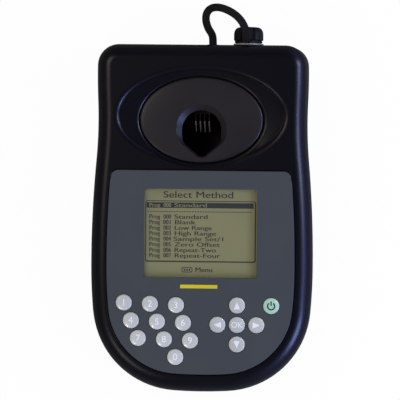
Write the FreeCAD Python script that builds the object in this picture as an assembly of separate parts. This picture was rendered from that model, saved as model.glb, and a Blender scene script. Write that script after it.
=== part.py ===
import FreeCAD, Part
import math
import os

# Bench photometer for water tests, in millimetres.
# X points right, Y to the rear, Z up, and the feet stand on z = 0.
# The plan outline is measured from its front tip, and the top face rises towards the rear.

Vector = FreeCAD.Vector
os.makedirs("parts", exist_ok=True)

# Plan outline of the casing
body_length = 234.0
widest_half_width = 75.0
widest_from_front = 84.8
nose_radius = 293.0
shoulder_radius = 59.3
flank_radius = 346.0
waist_narrowing = 4.6
waist_from_front = 183.4
waist_radius = 295.0
rear_narrowing = 4.0
rear_from_front = 212.3
rear_corner_radius = 15.0

# Heights of the casing
foot_height = 2.5
parting_z = 27.0
front_top_z = 40.0
rear_top_z = 65.0
wall = 3.2
rim_radius = 10.0
base_radius = 5.0
upper_lean = 0.6
lower_lean = 1.7
seam_gap = 0.6
seal_inset = 1.0
seal_inner_inset = 2.9

# Cap reach behind the casing, which sets where the middle of the footprint lies
cap_reach = 12.0

# Grey control panel
panel_inset = 11.7
panel_top_from_front = 148.8
panel_corner = 5.0
panel_recess = 1.5
panel_thickness = 1.8
panel_bevel = 0.5
panel_groove = 0.7

# Display
window_width = 75.9
window_length = 59.8
window_from_front = 106.8
window_pane = 1.5
pane_margin = 2.2
lcd_side_border = 4.55
lcd_end_border = 4.1
lcd_glass = 2.2
backlight = 2.0
lcd_can = 0.8
display_board_side = 7.5
display_board_end = 7.0

# Keys
key_diameter = 10.9
key_sides = 16
key_rise = 1.1
key_travel = 0.5
key_gap = 0.3
key_flange = (12.5, 10.9)
key_flange_thickness = 1.2
key_stem = 3.0
key_stem_length = 0.8
key_rest_gap = 0.1
first_key_x = -51.4
first_key_from_front = 59.8
column_step = (17.6, -0.64)
row_step = (4.8, -11.9)
zero_key_x = -16.5
arrow_pad_x = 24.9
arrow_pad_from_front = 45.6
arrow_pitch = 13.1
power_key_x = 47.9
power_key_from_front = 58.6

# Keypad circuit
board_thickness = 1.6
dome_width = 7.0
dome_height = 0.4
keypad_board_inset = 13.0
keypad_board_rear = 67.0
key_window_margin = 1.2
keypad_boss_places = ((3.4, 61.0), (36.4, 61.0), (-53.0, 36.2), (-36.0, 23.5), (45.0, 26.4))

# Dish and oval insert round the sample well
dish_side_margin = 12.7
dish_length = 66.6
dish_from_front = 185.5
dish_depth = 3.5
dish_edge_run = 0.5
dish_edge_fall = 0.6
backing_margin = 2.3
backing_overlap = 0.5
backing_thickness = 2.2
insert_width = 84.0
insert_length = 58.8
insert_from_front = 182.3
insert_gap = 0.8
insert_thickness = 2.8
insert_bevel = 0.6
insert_ledge = 1.2
ledge_thickness = 2.3
funnel_depth = 6.0
funnel_flare = 3.2
hub_wall = 1.9

# Sample well
well_from_front = 176.3
well_radius = 14.6
flank_angle_deg = 40.0
flank_apex = 20.9
flank_tip_radius = 6.0
flank_corner_radius = 3.0
well_block_side = 18.2
well_block_front = 26.0
well_block_rear = 17.4
well_base_z = 7.0
well_base_thickness = 3.0
well_base_width = 52.0
well_base_length = 82.0
beam_z = 20.5
front_slit = (5.0, 11.0)
rear_slit = (17.0, 11.0)
glass_thickness = 1.2
glass_margin = 1.5

# Sprung tube pusher
pusher_width = 12.0
pusher_low_z = 30.0
pusher_high_z = 44.0
pusher_nose = -0.85
pusher_slope = 7.0
pusher_fit = 0.3
pusher_rest_gap = 0.1
pusher_rib = 1.0
pusher_rib_count = 4
pusher_plate = 2.0
pusher_plate_width = 18.0
guide_wall = 3.2
guide_length = 8.4
leaf_thickness = 0.3
leaf_height = 8.0
leaf_slot_depth = 1.4
leaf_slot_width = 0.8

# Light source and detectors
optic_width = 25.0
light_block_length = 12.0
optic_top_z = 29.4
led_diameter = 5.0
led_length = 8.6
lens_diameter = 8.0
lens_thickness = 2.0
detector_block_length = 11.6
filter_side = 5.0
filter_pitch = 5.7
filter_thickness = 2.0
photodiode_side = 4.0
photodiode_thickness = 1.3

# Battery bay
cell_diameter = 14.2
cell_length = 50.5
cell_pitch = 15.2
cell_count = 3
contact_depth = 1.6
bay_from_front = 59.0
bay_wall = 1.6
bay_pad = 0.8
bay_clearance = 0.5
door_thickness = 1.6
door_gap = 0.3
door_lip_side = 3.0
door_lip_end = 11.0
door_seal = 0.5
door_corner = 4.0
door_sink = 0.9

# Boards in the base
main_board_width = 116.0
main_board_length = 45.0
main_board_from_front = 111.5
main_board_z = 12.0
connector_height = 3.0
connector_length = 5.0
connector_margin = 1.0

# Flat cables: distance from the middle plane, and width
cable_thickness = 0.3
keypad_cable = (-34.0, 14.0)
display_cable = (16.0, 16.0)
optics_cable = (31.0, 7.0)
port_cable = (42.0, 7.0)
display_socket_offset = -8.0
cable_floor_gap = 1.0
cable_tail = 13.0
cable_bend = 5.0
cable_step = 2.0
cable_drop = 10.0
cable_rise = 8.0
display_cable_start = 21.5
board_gap = 0.1
board_lift = 0.4

# Fasteners
screw_shank = 3.0
screw_head = 5.6
screw_head_height = 2.2
screw_play = 0.1
case_boss = 7.4
case_screw_depth = 9.0
case_screw_seat_z = 9.0
case_screw_places = ((16.0, 218.0), (17.0, 51.0))
board_screw_shank = 2.0
board_screw_head = 3.8
board_screw_head_height = 1.3
display_screw_depth = 3.8
keypad_screw_depth = 2.0
main_screw_depth = 4.0
board_boss = 5.0
boss_sink = 0.4

# Feet
foot_diameter = 13.0
foot_places = ((28.0, 214.0), (23.0, 33.0))

# Rear port, its cap and the strap
port_x = 30.4
port_z = 43.0
port_flange_radius = 10.2
port_flange = 1.0
port_seal = 0.6
spigot_radius = 6.4
spigot_bore = 5.4
spigot_length = 7.4
port_thread_radius = 7.0
port_depth = 16.0
nut_radius = 10.5
nut_thickness = 3.0
cap_radius = 9.9
cap_neck_radius = 7.8
cap_neck_length = 1.9
cap_clearance = 0.25
cap_end_wall = 2.6
cap_flutes = 8
flute_width = 3.0
flute_depth = 1.0
collar_outer_radius = 9.3
collar_thickness = 1.2
collar_play = 0.2
tongue_width = 5.2
strap_x = 29.3
strap_diameter = 2.4
strap_clearance = 0.5
anchor_x = 6.4
anchor_width = 7.6
anchor_height = 4.0
anchor_lip = 0.9
anchor_gap = 0.4

# Values worked out from the sizes above
waist_half_width = widest_half_width - waist_narrowing
rear_half_width = widest_half_width - rear_narrowing
lcd_width = window_width + 2 * lcd_side_border
lcd_length = window_length + 2 * lcd_end_border
display_board_width = lcd_width + 2 * display_board_side
display_board_length = lcd_length + 2 * display_board_end
footprint_length = body_length + cap_reach
front_y = -footprint_length / 2
rear_y = front_y + body_length
rise = rear_top_z - front_top_z
slope_deg = math.degrees(math.atan2(rise, body_length))
slope_cos = math.cos(math.radians(slope_deg))
floor_z = foot_height + wall
well_y = front_y + well_from_front
panel_low = -panel_recess
board_top_w = panel_low - key_flange_thickness - key_stem_length - key_travel - 2 * key_rest_gap - dome_height
dish_width = 2 * (waist_half_width - dish_side_margin)
hub_low = -dish_depth - funnel_depth
backing_low = -dish_depth - backing_thickness
ledge_low = -dish_depth - insert_thickness - ledge_thickness
high_z = rear_top_z + 15.0
far = 400.0


def from_front(distance):
    return front_y + distance


def top_z(y):
    return front_top_z + rise * (y - front_y) / body_length


# Frame of the sloping top face: its third axis, w, is the height over that face
top_frame = FreeCAD.Placement(Vector(0, 0, top_z(0)), FreeCAD.Rotation(Vector(1, 0, 0), slope_deg))


def on_top(shape):
    placed = shape.copy()
    placed.Placement = top_frame.multiply(placed.Placement)
    return placed


def along_top(distance):
    return from_front(distance) / slope_cos


def slab(low, high):
    return on_top(Part.makeBox(far, far, high - low, Vector(-far / 2, -far / 2, low)))


def box(x0, x1, y0, y1, z0, z1):
    return Part.makeBox(x1 - x0, y1 - y0, z1 - z0, Vector(x0, y0, z0))


def block(x, y, z0, z1, width, length, corner=0.0):
    shape = box(x - width / 2, x + width / 2, y - length / 2, y + length / 2, z0, z1)
    if corner:
        upright = [e for e in shape.Edges if abs(e.tangentAt(e.FirstParameter).z) > 0.99]
        shape = shape.makeFillet(corner, upright)
    return shape


def rod(x, y, z0, z1, diameter):
    return Part.makeCylinder(diameter / 2, z1 - z0, Vector(x, y, z0))


def post(x, y, z0, z1, across, sides=8):
    """Upright bar with flat sides, its width measured across the flats."""
    half_step = math.pi / sides
    radius = across / 2 / math.cos(half_step)
    ring = []
    for k in range(sides + 1):
        turn = half_step * (2 * k + 1)
        ring.append(Vector(x + radius * math.cos(turn), y + radius * math.sin(turn), z0))
    return Part.Face(Part.makePolygon(ring)).extrude(Vector(0, 0, z1 - z0))


def rearward(x, z, y0, y1, radius):
    return Part.makeCylinder(radius, y1 - y0, Vector(x, y0, z), Vector(0, 1, 0))


def ellipse(width, length, y, w):
    curve = Part.Ellipse(Vector(0, y, w), width / 2, length / 2)
    return Part.Wire([curve.toShape()])


def fused(shapes):
    whole = shapes[0]
    if len(shapes) > 1:
        whole = shapes[0].multiFuse(shapes[1:])
    return whole.removeSplitter()


def arc(centre, radius, start, end):
    middle = (start - centre).normalize() + (end - centre).normalize()
    return Part.Arc(start, centre + middle.normalize() * radius, end).toShape()


def line(start, end):
    return Part.makeLine(start, end)


def toward(start, end):
    return Vector(end - start).normalize()


# Plan outline: a chain of tangent arcs, moved inwards without changing their centres


def outline_centres():
    """Centres of the arcs on the right side, in order from the rear corner to the nose."""
    rear_step = rear_half_width - waist_half_width
    rear_run = rear_from_front - waist_from_front
    rear_radius = (rear_step**2 + rear_run**2) / (2 * rear_step) - waist_radius
    upper_step = widest_half_width - waist_half_width
    upper_run = waist_from_front - widest_from_front
    upper_radius = (upper_step**2 + upper_run**2) / (2 * upper_step) - waist_radius
    rear = Vector(rear_half_width - rear_radius, rear_from_front, 0)
    corner_y = body_length - rear_corner_radius
    reach = rear_radius - rear_corner_radius
    corner_x = rear.x + math.sqrt(reach**2 - (corner_y - rear.y) ** 2)
    corner = Vector(corner_x, corner_y, 0)
    waist = Vector(waist_half_width + waist_radius, waist_from_front, 0)
    upper = Vector(widest_half_width - upper_radius, widest_from_front, 0)
    flank = Vector(widest_half_width - flank_radius, widest_from_front, 0)
    nose = Vector(0, nose_radius, 0)
    from_nose = nose_radius - shoulder_radius
    from_flank = flank_radius - shoulder_radius
    apart = flank - nose
    along = (from_nose**2 - from_flank**2 + apart.Length**2) / (2 * apart.Length)
    aside = math.sqrt(from_nose**2 - along**2)
    axis = Vector(apart).normalize()
    shoulder = nose + axis * along + Vector(-axis.y, axis.x, 0) * aside
    return (
        (corner, rear_corner_radius),
        (rear, rear_radius),
        (waist, -waist_radius),
        (upper, upper_radius),
        (flank, flank_radius),
        (shoulder, shoulder_radius),
        (nose, nose_radius),
    )


def side_chain(inset):
    """Joints of the right side from the rear edge to the nose, and the arcs between them."""
    (corner, _), (rear, rear_r), (waist, _), (upper, upper_r), (flank, flank_r), (shoulder, _), (nose, nose_r) = (
        outline_centres()
    )
    joints = [
        Vector(corner.x, body_length - inset, 0),
        rear + toward(rear, corner) * (rear_r - inset),
        rear + toward(rear, waist) * (rear_r - inset),
        upper + toward(upper, waist) * (upper_r - inset),
        Vector(widest_half_width - inset, widest_from_front, 0),
        flank + toward(flank, shoulder) * (flank_r - inset),
        nose + toward(nose, shoulder) * (nose_r - inset),
    ]
    arcs = [(centre, abs(radius - inset)) for centre, radius in outline_centres()]
    return joints, arcs


def mirrored(point):
    return Vector(-point.x, point.y, point.z)


def outline(inset, z):
    """The casing's outline, moved in by inset, at height z."""
    joints, arcs = side_chain(inset)
    edges = [line(mirrored(joints[0]), joints[0])]
    for k in range(6):
        edges.append(arc(arcs[k][0], arcs[k][1], joints[k], joints[k + 1]))
    tip = Vector(0, inset, 0)
    edges.append(Part.Arc(joints[6], tip, mirrored(joints[6])).toShape())
    for k in reversed(range(6)):
        centre = mirrored(arcs[k][0])
        edges.append(arc(centre, arcs[k][1], mirrored(joints[k + 1]), mirrored(joints[k])))
    wire = Part.Wire(edges)
    wire.translate(Vector(0, front_y, z))
    return wire


def prism(inset):
    return Part.Face(outline(inset, 0)).extrude(Vector(0, 0, high_z))


def front_prism(inset, end_from_front):
    """The front part of the outline, closed by a straight edge across the casing."""
    joints, arcs = side_chain(inset)
    edges = [line(mirrored(joints[4]), joints[4])]
    for k in (4, 5):
        edges.append(arc(arcs[k][0], arcs[k][1], joints[k], joints[k + 1]))
    edges.append(Part.Arc(joints[6], Vector(0, inset, 0), mirrored(joints[6])).toShape())
    for k in (5, 4):
        edges.append(arc(mirrored(arcs[k][0]), arcs[k][1], mirrored(joints[k + 1]), mirrored(joints[k])))
    wire = Part.Wire(edges)
    wire.translate(Vector(0, front_y, 0))
    whole = Part.Face(wire).extrude(Vector(0, 0, high_z))
    return whole.common(box(-far, far, -far, from_front(end_from_front), 0, high_z))


# Casing forms


def lifted_outline(inset, w):
    """The outline moved in by inset and laid at w over the sloping top face."""
    matrix = FreeCAD.Matrix()
    matrix.A32 = rise / body_length
    matrix.A34 = top_z(0) + w / slope_cos
    return outline(inset, 0).transformGeometry(matrix)


def upper_form(inset, bands):
    """The closed upper half, inset all over, its rim rounded in narrow bands."""
    radius = rim_radius - inset
    sections = [outline(inset, parting_z)]
    for k in range(bands + 1):
        angle = math.radians(90 * k / bands)
        moved = inset + upper_lean + radius * (1 - math.cos(angle))
        sections.append(lifted_outline(moved, -inset - radius * (1 - math.sin(angle))))
    return Part.makeLoft(sections, True, True)


def lower_form(inset, bands):
    """The closed lower half, inset all over, its bottom edge rounded in narrow bands."""
    radius = base_radius - inset
    sections = [outline(inset, parting_z)]
    for k in range(bands + 1):
        angle = math.radians(90 * k / bands)
        moved = inset + lower_lean + radius * (1 - math.cos(angle))
        sections.append(outline(moved, foot_height + inset + radius * (1 - math.sin(angle))))
    return Part.makeLoft(sections[::-1], True, True)


def panel_form(inset):
    """Upright prism on the panel's outline, with its two rear corners rounded."""
    top_y = from_front(panel_top_from_front) - (inset - panel_inset)
    form = prism(inset).common(box(-far, far, -far, top_y, 0, high_z))
    corners = []
    for edge in form.Edges:
        upright = abs(edge.tangentAt(edge.FirstParameter).z) > 0.99
        if upright and abs(edge.BoundBox.YMax - top_y) < 0.01:
            corners.append(edge)
    return form.makeFillet(panel_corner, corners)


def key_places():
    places = {}
    for digit in range(1, 10):
        column, row = (digit - 1) % 3, (digit - 1) // 3
        x = first_key_x + column * column_step[0] + row * row_step[0]
        d = first_key_from_front + column * column_step[1] + row * row_step[1]
        places["key_%d" % digit] = (x, d)
    zero_d = first_key_from_front + column_step[1] + 3 * row_step[1]
    places["key_0"] = (zero_key_x, zero_d)
    places["key_ok"] = (arrow_pad_x, arrow_pad_from_front)
    places["key_up"] = (arrow_pad_x, arrow_pad_from_front + arrow_pitch)
    places["key_down"] = (arrow_pad_x, arrow_pad_from_front - arrow_pitch)
    places["key_left"] = (arrow_pad_x - arrow_pitch, arrow_pad_from_front)
    places["key_right"] = (arrow_pad_x + arrow_pitch, arrow_pad_from_front)
    places["key_power"] = (power_key_x, power_key_from_front)
    return places


keys = key_places()
key_rows = (
    ("key_1", "key_3"),
    ("key_4", "key_6"),
    ("key_7", "key_9"),
    ("key_0", "key_0"),
    ("key_up", "key_up"),
    ("key_left", "key_right"),
    ("key_down", "key_down"),
    ("key_power", "key_power"),
)


def well_prism(offset, low, high):
    """The well's pointed round hole, grown by offset, as an upright prism."""
    angle = math.radians(flank_angle_deg)
    side = well_radius + offset
    apex = flank_apex + offset / math.cos(angle)
    bend_radius = flank_corner_radius + offset
    tip_radius = flank_tip_radius + offset
    bend = Vector(side, side * math.tan(angle) - apex, 0)
    cut = bend_radius * math.tan((math.pi / 2 - angle) / 2)
    bend_start = bend + Vector(0, cut, 0)
    bend_end = bend - Vector(math.cos(angle), math.sin(angle), 0) * cut
    bend_centre = bend_start - Vector(bend_radius, 0, 0)
    tip_centre = Vector(0, tip_radius / math.cos(angle) - apex, 0)
    tip_side = tip_centre + Vector(math.sin(angle), -math.cos(angle), 0) * tip_radius
    right, left = Vector(side, 0, 0), Vector(-side, 0, 0)
    edges = [
        Part.Arc(right, Vector(0, side, 0), left).toShape(),
        line(left, mirrored(bend_start)),
        arc(mirrored(bend_centre), bend_radius, mirrored(bend_start), mirrored(bend_end)),
        line(mirrored(bend_end), mirrored(tip_side)),
        Part.Arc(mirrored(tip_side), tip_centre - Vector(0, tip_radius, 0), tip_side).toShape(),
        line(tip_side, bend_end),
        arc(bend_centre, bend_radius, bend_end, bend_start),
        line(bend_start, right),
    ]
    face = Part.Face(Part.Wire(edges))
    face.translate(Vector(0, well_y, low))
    return face.extrude(Vector(0, 0, high - low))


# Places shared by several pieces
insert_v = along_top(insert_from_front)
dish_v = along_top(dish_from_front)
window_v = along_top(window_from_front)
pane_width = window_width + 2 * pane_margin
pane_length = window_length + 2 * pane_margin
pane_gap = 0.3
lcd_top = -wall - 0.1
lcd_low = lcd_top - lcd_can - lcd_glass - backlight
case_bosses = [(side * (widest_half_width - m), from_front(d)) for m, d in case_screw_places for side in (-1, 1)]
feet_at = [(side * (widest_half_width - m), from_front(d)) for m, d in foot_places for side in (-1, 1)]
bay_y = from_front(bay_from_front)
bay_width = cell_count * cell_pitch + 2 * bay_clearance
bay_length = cell_length + 2 * contact_depth
cell_z = floor_z + bay_clearance + cell_diameter / 2
bay_roof = cell_z + cell_diameter / 2 + bay_clearance
door_width = bay_width + 2 * door_lip_side
door_length = bay_length + 2 * door_lip_end
door_seat = foot_height + door_thickness + door_seal + screw_play
door_screw_y = bay_length / 2 + bay_wall + case_boss / 2 + door_gap
main_board_y = from_front(main_board_from_front)
main_boss_at = [
    (sx * (main_board_width / 2 - 5), main_board_y + sy * (main_board_length / 2 - 5))
    for sx in (-1, 1)
    for sy in (-1, 1)
]
well_base_y = well_y + (well_block_rear - well_block_front) / 2
base_boss_at = [
    (sx * (well_base_width / 2 - 4), well_base_y + sy * (well_base_length / 2 - 4))
    for sx in (-1, 1)
    for sy in (-1, 1)
]
display_boss_at = [
    (sx * (display_board_width / 2 - 3), window_v + sy * (display_board_length / 2 - 5))
    for sx in (-1, 1)
    for sy in (-1, 1)
]
keypad_boss_at = [(x, along_top(d)) for x, d in keypad_boss_places]
main_top_z = main_board_z + board_thickness
port_face = rear_y - upper_lean - 0.1
light_face = well_y - well_block_front
light_low = well_base_z + well_base_thickness
detector_face = well_y + well_block_rear
detector_rear = detector_face + detector_block_length
detector_top = pusher_low_z - guide_wall / 2 - 0.2
port_inner = port_face - port_depth
flange_front = port_seal + port_flange
spigot_end = flange_front + spigot_length
cap_start = flange_front + 0.3
collar_start = cap_start + 0.3
knob_start = cap_start + cap_neck_length
cap_length = rear_y + cap_reach - port_face
strap_z = port_z + cap_radius + strap_diameter / 2 + strap_clearance


# Upper case


def dish_cut():
    """The shallow dish: a narrow sloping edge, then a long slope down to the insert's seat."""
    run, fall = 2 * dish_edge_run, dish_edge_fall
    over = ellipse(dish_width + run, dish_length + run, dish_v, fall)
    edge = ellipse(dish_width - run, dish_length - run, dish_v, -fall)
    seat = ellipse(insert_width, insert_length, insert_v, -dish_depth)
    return Part.makeLoft([over, edge, seat], True, True)


def oval(width, length, y, low, high):
    return Part.Face(ellipse(width, length, y, low)).extrude(Vector(0, 0, high - low))


def dish_backing():
    """Thick oval patch under the top wall that carries the dish, with a deeper one round the insert."""
    margin = 2 * backing_margin
    top = backing_overlap - wall
    outer = oval(dish_width + margin, dish_length + margin, dish_v, backing_low, top)
    inner = oval(insert_width + margin, insert_length + margin, insert_v, ledge_low, top)
    return fused([outer, inner])


def key_window():
    """Opening in the panel's seat that the keys' flanges move in, made row by row."""
    across, along = [side / 2 + key_window_margin for side in key_flange]
    rows = []
    for left, right in key_rows:
        (x0, d0), (x1, d1) = keys[left], keys[right]
        low, high = sorted((along_top(d0), along_top(d1)))
        rows.append(box(x0 - across, x1 + across, low - along, high + along, board_top_w, panel_low + 0.5))
    return on_top(fused(rows))


def insert_seat():
    """Room for the insert down to its ledge, and the opening inside the ledge."""
    floor = ledge_low + ledge_thickness
    seat = oval(insert_width, insert_length, insert_v, floor, floor + insert_thickness + 1)
    width, length = insert_width - 2 * insert_ledge, insert_length - 2 * insert_ledge
    return [on_top(seat), on_top(oval(width, length, insert_v, ledge_low - 1, floor + 1))]


def anchor_holes():
    """Hole for the strap's plug, and the shallow pocket for its outer lip."""
    half, tall = anchor_width / 2, anchor_height / 2
    hole_half, hole_tall = half - anchor_lip, tall - anchor_lip
    half, tall = half + anchor_gap, tall + anchor_gap
    end = rear_y + 5
    return [
        box(anchor_x - hole_half, anchor_x + hole_half, rear_y - 12, end, port_z - hole_tall, port_z + hole_tall),
        box(anchor_x - half, anchor_x + half, port_face, end, port_z - tall, port_z + tall),
    ]


def upper_case():
    shell = upper_form(0, 2).cut(upper_form(wall, 1))
    shell = shell.common(box(-far, far, -far, far, parting_z + seam_gap / 2, high_z))
    limit = upper_form(wall / 2, 1)
    parts = [shell, on_top(dish_backing()).common(limit)]
    for x, y in case_bosses:
        parts.append(post(x, y, parting_z + seam_gap / 2, high_z, case_boss).common(limit))
    for x, v in display_boss_at:
        parts.append(on_top(post(x, v, lcd_low, boss_sink - wall, board_boss)))
    for x, v in keypad_boss_at:
        parts.append(on_top(post(x, v, board_top_w, boss_sink - wall, board_boss)))
    case = fused(parts).cut(on_top(dish_cut()))
    tools = [
        panel_form(panel_inset - panel_groove).common(slab(panel_low, 9)),
        on_top(block(0, window_v, -wall - 3, 1, pane_width + 2 * pane_gap, pane_length + 2 * pane_gap)),
        key_window(),
        rearward(port_x, port_z, rear_y - 12, rear_y + 5, port_thread_radius + screw_play),
        rearward(port_x, port_z, port_face, rear_y + 5, port_flange_radius + anchor_gap),
    ]
    tools += insert_seat() + anchor_holes()
    shank = board_screw_shank + screw_play
    for x, y in case_bosses:
        tools.append(post(x, y, parting_z - 1, parting_z + case_screw_depth + 0.5, screw_shank + screw_play))
    for x, v in display_boss_at:
        tools.append(on_top(post(x, v, lcd_low - 1, lcd_low + display_screw_depth + 0.3, shank)))
    for x, v in keypad_boss_at:
        tools.append(on_top(post(x, v, board_top_w - 1, board_top_w + keypad_screw_depth + 0.3, shank)))
    return case.cut(tools)


# Lower case


def lower_case():
    shell = lower_form(0, 1).cut(lower_form(wall, 1))
    top = parting_z - seam_gap / 2
    shell = shell.common(box(-far, far, -far, far, 0, top))
    parts = [shell]
    for x, y in case_bosses:
        parts.append(rod(x, y, foot_height + 1, top, case_boss))
    for x, y in main_boss_at:
        parts.append(post(x, y, floor_z - 0.5, main_board_z, board_boss))
    for x, y in base_boss_at:
        parts.append(post(x, y, floor_z - 0.5, well_base_z, board_boss))
    for side in (-1, 1):
        parts.append(post(0, bay_y + side * door_screw_y, foot_height + 1, door_seat + 6.5, case_boss))
    parts.append(block(0, bay_y, floor_z - 1, floor_z + bay_pad, door_width + 4, door_length + 4))
    case = fused(parts)
    tools = []
    shank = board_screw_shank + screw_play
    for x, y in case_bosses:
        tools.append(post(x, y, 0, parting_z + 1, screw_shank + 2 * screw_play))
        tools.append(rod(x, y, 0, case_screw_seat_z, screw_head + 4 * screw_play))
    for x, y in main_boss_at:
        tools.append(post(x, y, main_board_z - main_screw_depth - 0.3, main_board_z + 1, shank))
    for x, y in base_boss_at:
        tools.append(post(x, y, foot_height + 1.2, well_base_z + 1, shank))
    tools.append(block(0, bay_y, 0, door_seat, door_width + 2 * door_gap, door_length + 2 * door_gap, door_corner))
    tools.append(block(0, bay_y, 0, floor_z + 1, bay_width, bay_length))
    for side in (-1, 1):
        tools.append(post(0, bay_y + side * door_screw_y, 0, door_seat + 5.5, screw_shank + screw_play))
    for x, y in feet_at:
        tools.append(rod(x, y, 0, foot_height + 1.0, foot_diameter))
    return case.cut(tools)


def case_gasket():
    low = parting_z - seam_gap / 2
    outer = Part.Face(outline(seal_inset, low)).extrude(Vector(0, 0, seam_gap))
    return outer.cut(Part.Face(outline(seal_inner_inset, low)).extrude(Vector(0, 0, seam_gap)))


# Control panel, display and keypad


def front_panel():
    plate = panel_form(panel_inset).common(slab(panel_low, panel_low + panel_thickness))
    up = top_frame.Rotation.multVec(Vector(0, 0, 1))
    rim = []
    for face in plate.Faces:
        if isinstance(face.Surface, Part.Plane) and face.normalAt(0, 0).dot(up) > 0.999:
            rim += face.Edges
    plate = plate.makeChamfer(panel_bevel, rim)
    tools = [on_top(block(0, window_v, -9, 9, window_width, window_length))]
    for x, d in keys.values():
        tools.append(on_top(post(x, along_top(d), -9, 9, key_diameter + 2 * key_gap, key_sides)))
    return plate.cut(tools)


def display_window():
    pane = block(0, window_v, panel_low - window_pane, panel_low, pane_width, pane_length)
    return on_top(pane)


def lcd_frame():
    outer_width, outer_length = lcd_width + 2 * lcd_can, lcd_length + 2 * lcd_can
    can = block(0, window_v, lcd_low, lcd_top, outer_width, outer_length)
    can = can.cut(block(0, window_v, lcd_low - 1, lcd_top - lcd_can, lcd_width, lcd_length))
    can = can.cut(block(0, window_v, lcd_low, lcd_top + 1, window_width + 2, window_length + 2))
    return on_top(can)


def lcd_panel():
    top = lcd_top - lcd_can
    return on_top(block(0, window_v, top - lcd_glass, top, lcd_width - 0.2, lcd_length - 0.2))


def lcd_backlight():
    return on_top(block(0, window_v, lcd_low, lcd_low + backlight, lcd_width - 0.2, lcd_length - 0.2))


def display_board():
    board = block(0, window_v, lcd_low - board_thickness, lcd_low, display_board_width, display_board_length)
    return on_top(board.cut([post(x, v, -50, 50, board_screw_shank + screw_play) for x, v in display_boss_at]))


def keypad_board():
    board = front_prism(keypad_board_inset, keypad_board_rear)
    board = board.common(slab(board_top_w - board_thickness, board_top_w))
    notches = [post(x, y, 0, high_z, case_boss + 2 * pane_gap) for x, y in case_bosses]
    holes = [on_top(post(x, v, -50, 50, board_screw_shank + screw_play)) for x, v in keypad_boss_at]
    return board.cut(notches + holes)


def key_domes():
    high = board_top_w + dome_height
    return Part.makeCompound([on_top(post(x, along_top(d), board_top_w, high, dome_width)) for x, d in keys.values()])


def key(x, d):
    """A round push key: cap, oblong flange under the panel, and a short stem over its dome."""
    v = along_top(d)
    flange_top = panel_low - key_rest_gap
    flange_low = flange_top - key_flange_thickness
    cap = post(x, v, flange_top - 0.5, panel_low + panel_thickness + key_rise, key_diameter, key_sides)
    flange = block(x, v, flange_low, flange_top, key_flange[0], key_flange[1])
    stem = block(x, v, flange_low - key_stem_length, flange_low + 0.5, key_stem, key_stem)
    return on_top(fused([cap, flange, stem]))


# Sample well


def funnel():
    """The cone behind the well's two straight flanks, which stay sharp."""
    wide = well_radius + funnel_flare
    cone = on_top(Part.makeCone(well_radius, wide, funnel_depth, Vector(0, along_top(well_from_front), hub_low)))
    run = 2 * wide
    climb = run * math.tan(math.radians(flank_angle_deg)) - flank_apex
    corners = [
        Vector(0, -flank_apex, 0),
        Vector(run, climb, 0),
        Vector(run, run, 0),
        Vector(-run, run, 0),
        Vector(-run, climb, 0),
        Vector(0, -flank_apex, 0),
    ]
    wedge = Part.Face(Part.makePolygon(corners))
    wedge.translate(Vector(0, well_y, 0))
    return cone.common(wedge.extrude(Vector(0, 0, high_z)))


def well_insert():
    """The oval cover with its funnel and the hub that stands on the well block."""
    width, length = insert_width - 2 * insert_gap, insert_length - 2 * insert_gap
    low = -dish_depth - insert_thickness
    sections = [
        ellipse(width, length, insert_v, low),
        ellipse(width, length, insert_v, -dish_depth - insert_bevel),
        ellipse(width - 2 * insert_bevel, length - 2 * insert_bevel, insert_v, -dish_depth),
    ]
    plate = on_top(Part.makeLoft(sections, True, True))
    hub = well_prism(hub_wall, 0, high_z).common(slab(hub_low, low + 0.5))
    collar_width = 2 * (well_radius + funnel_flare) + hub_wall
    collar = on_top(rod(0, along_top(well_from_front), hub_low, low + 0.5, collar_width))
    return fused([plate, hub, collar]).cut([well_prism(0, 0, high_z), funnel()])


def tube_well():
    middle = (well_block_rear - well_block_front) / 2
    length = well_block_rear + well_block_front
    top = slab(-far, hub_low)
    body = block(0, well_y + middle, well_base_z, high_z, 2 * well_block_side, length).common(top)
    base = block(0, well_base_y, well_base_z, light_low, well_base_width, well_base_length)
    half_guide = pusher_plate_width / 2 + pusher_fit + guide_wall
    guide_low, guide_high = pusher_low_z - guide_wall / 2, pusher_high_z + guide_wall / 2
    rear = well_y + well_block_rear
    guide = box(-half_guide, half_guide, rear - 1, rear + guide_length, guide_low, guide_high)
    body = fused([body, base, guide])
    fit = pusher_fit
    slot_low, slot_high = pusher_low_z - fit, pusher_high_z + fit
    nose_half = pusher_width / 2 + fit
    plate_half = pusher_plate_width / 2 + fit
    leaf_y = rear + guide_length - leaf_slot_depth
    leaf_half = plate_half + leaf_slot_depth
    tools = [
        well_prism(0, light_low, high_z),
        box(-nose_half, nose_half, well_y, rear + 20, slot_low, slot_high),
        box(-plate_half, plate_half, rear, rear + 20, slot_low, slot_high),
        box(-leaf_half, leaf_half, leaf_y, leaf_y + leaf_slot_width, slot_low, slot_high),
    ]
    for slit, outside, way in ((front_slit, light_face, 1), (rear_slit, rear, -1)):
        half, tall = slit[0] / 2, slit[1] / 2
        near, middle_y = sorted((outside - way, well_y))
        tools.append(box(-half, half, near, middle_y, beam_z - tall, beam_z + tall))
        half, tall = half + glass_margin, tall + glass_margin
        near, away = sorted((outside, outside + way * glass_thickness))
        tools.append(box(-half, half, near, away, beam_z - tall, beam_z + tall))
    for x, y in base_boss_at:
        tools.append(post(x, y, 0, light_low + 1, board_screw_shank + screw_play))
    return body.cut(tools)


def well_windows():
    panes = []
    for slit, outside, way in ((front_slit, light_face, 1), (rear_slit, detector_face, -1)):
        half, tall = slit[0] / 2 + glass_margin - board_gap, slit[1] / 2 + glass_margin - board_gap
        near, away = sorted((outside, outside + way * glass_thickness))
        panes.append(box(-half, half, near, away, beam_z - tall, beam_z + tall))
    return Part.makeCompound(panes)


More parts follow.
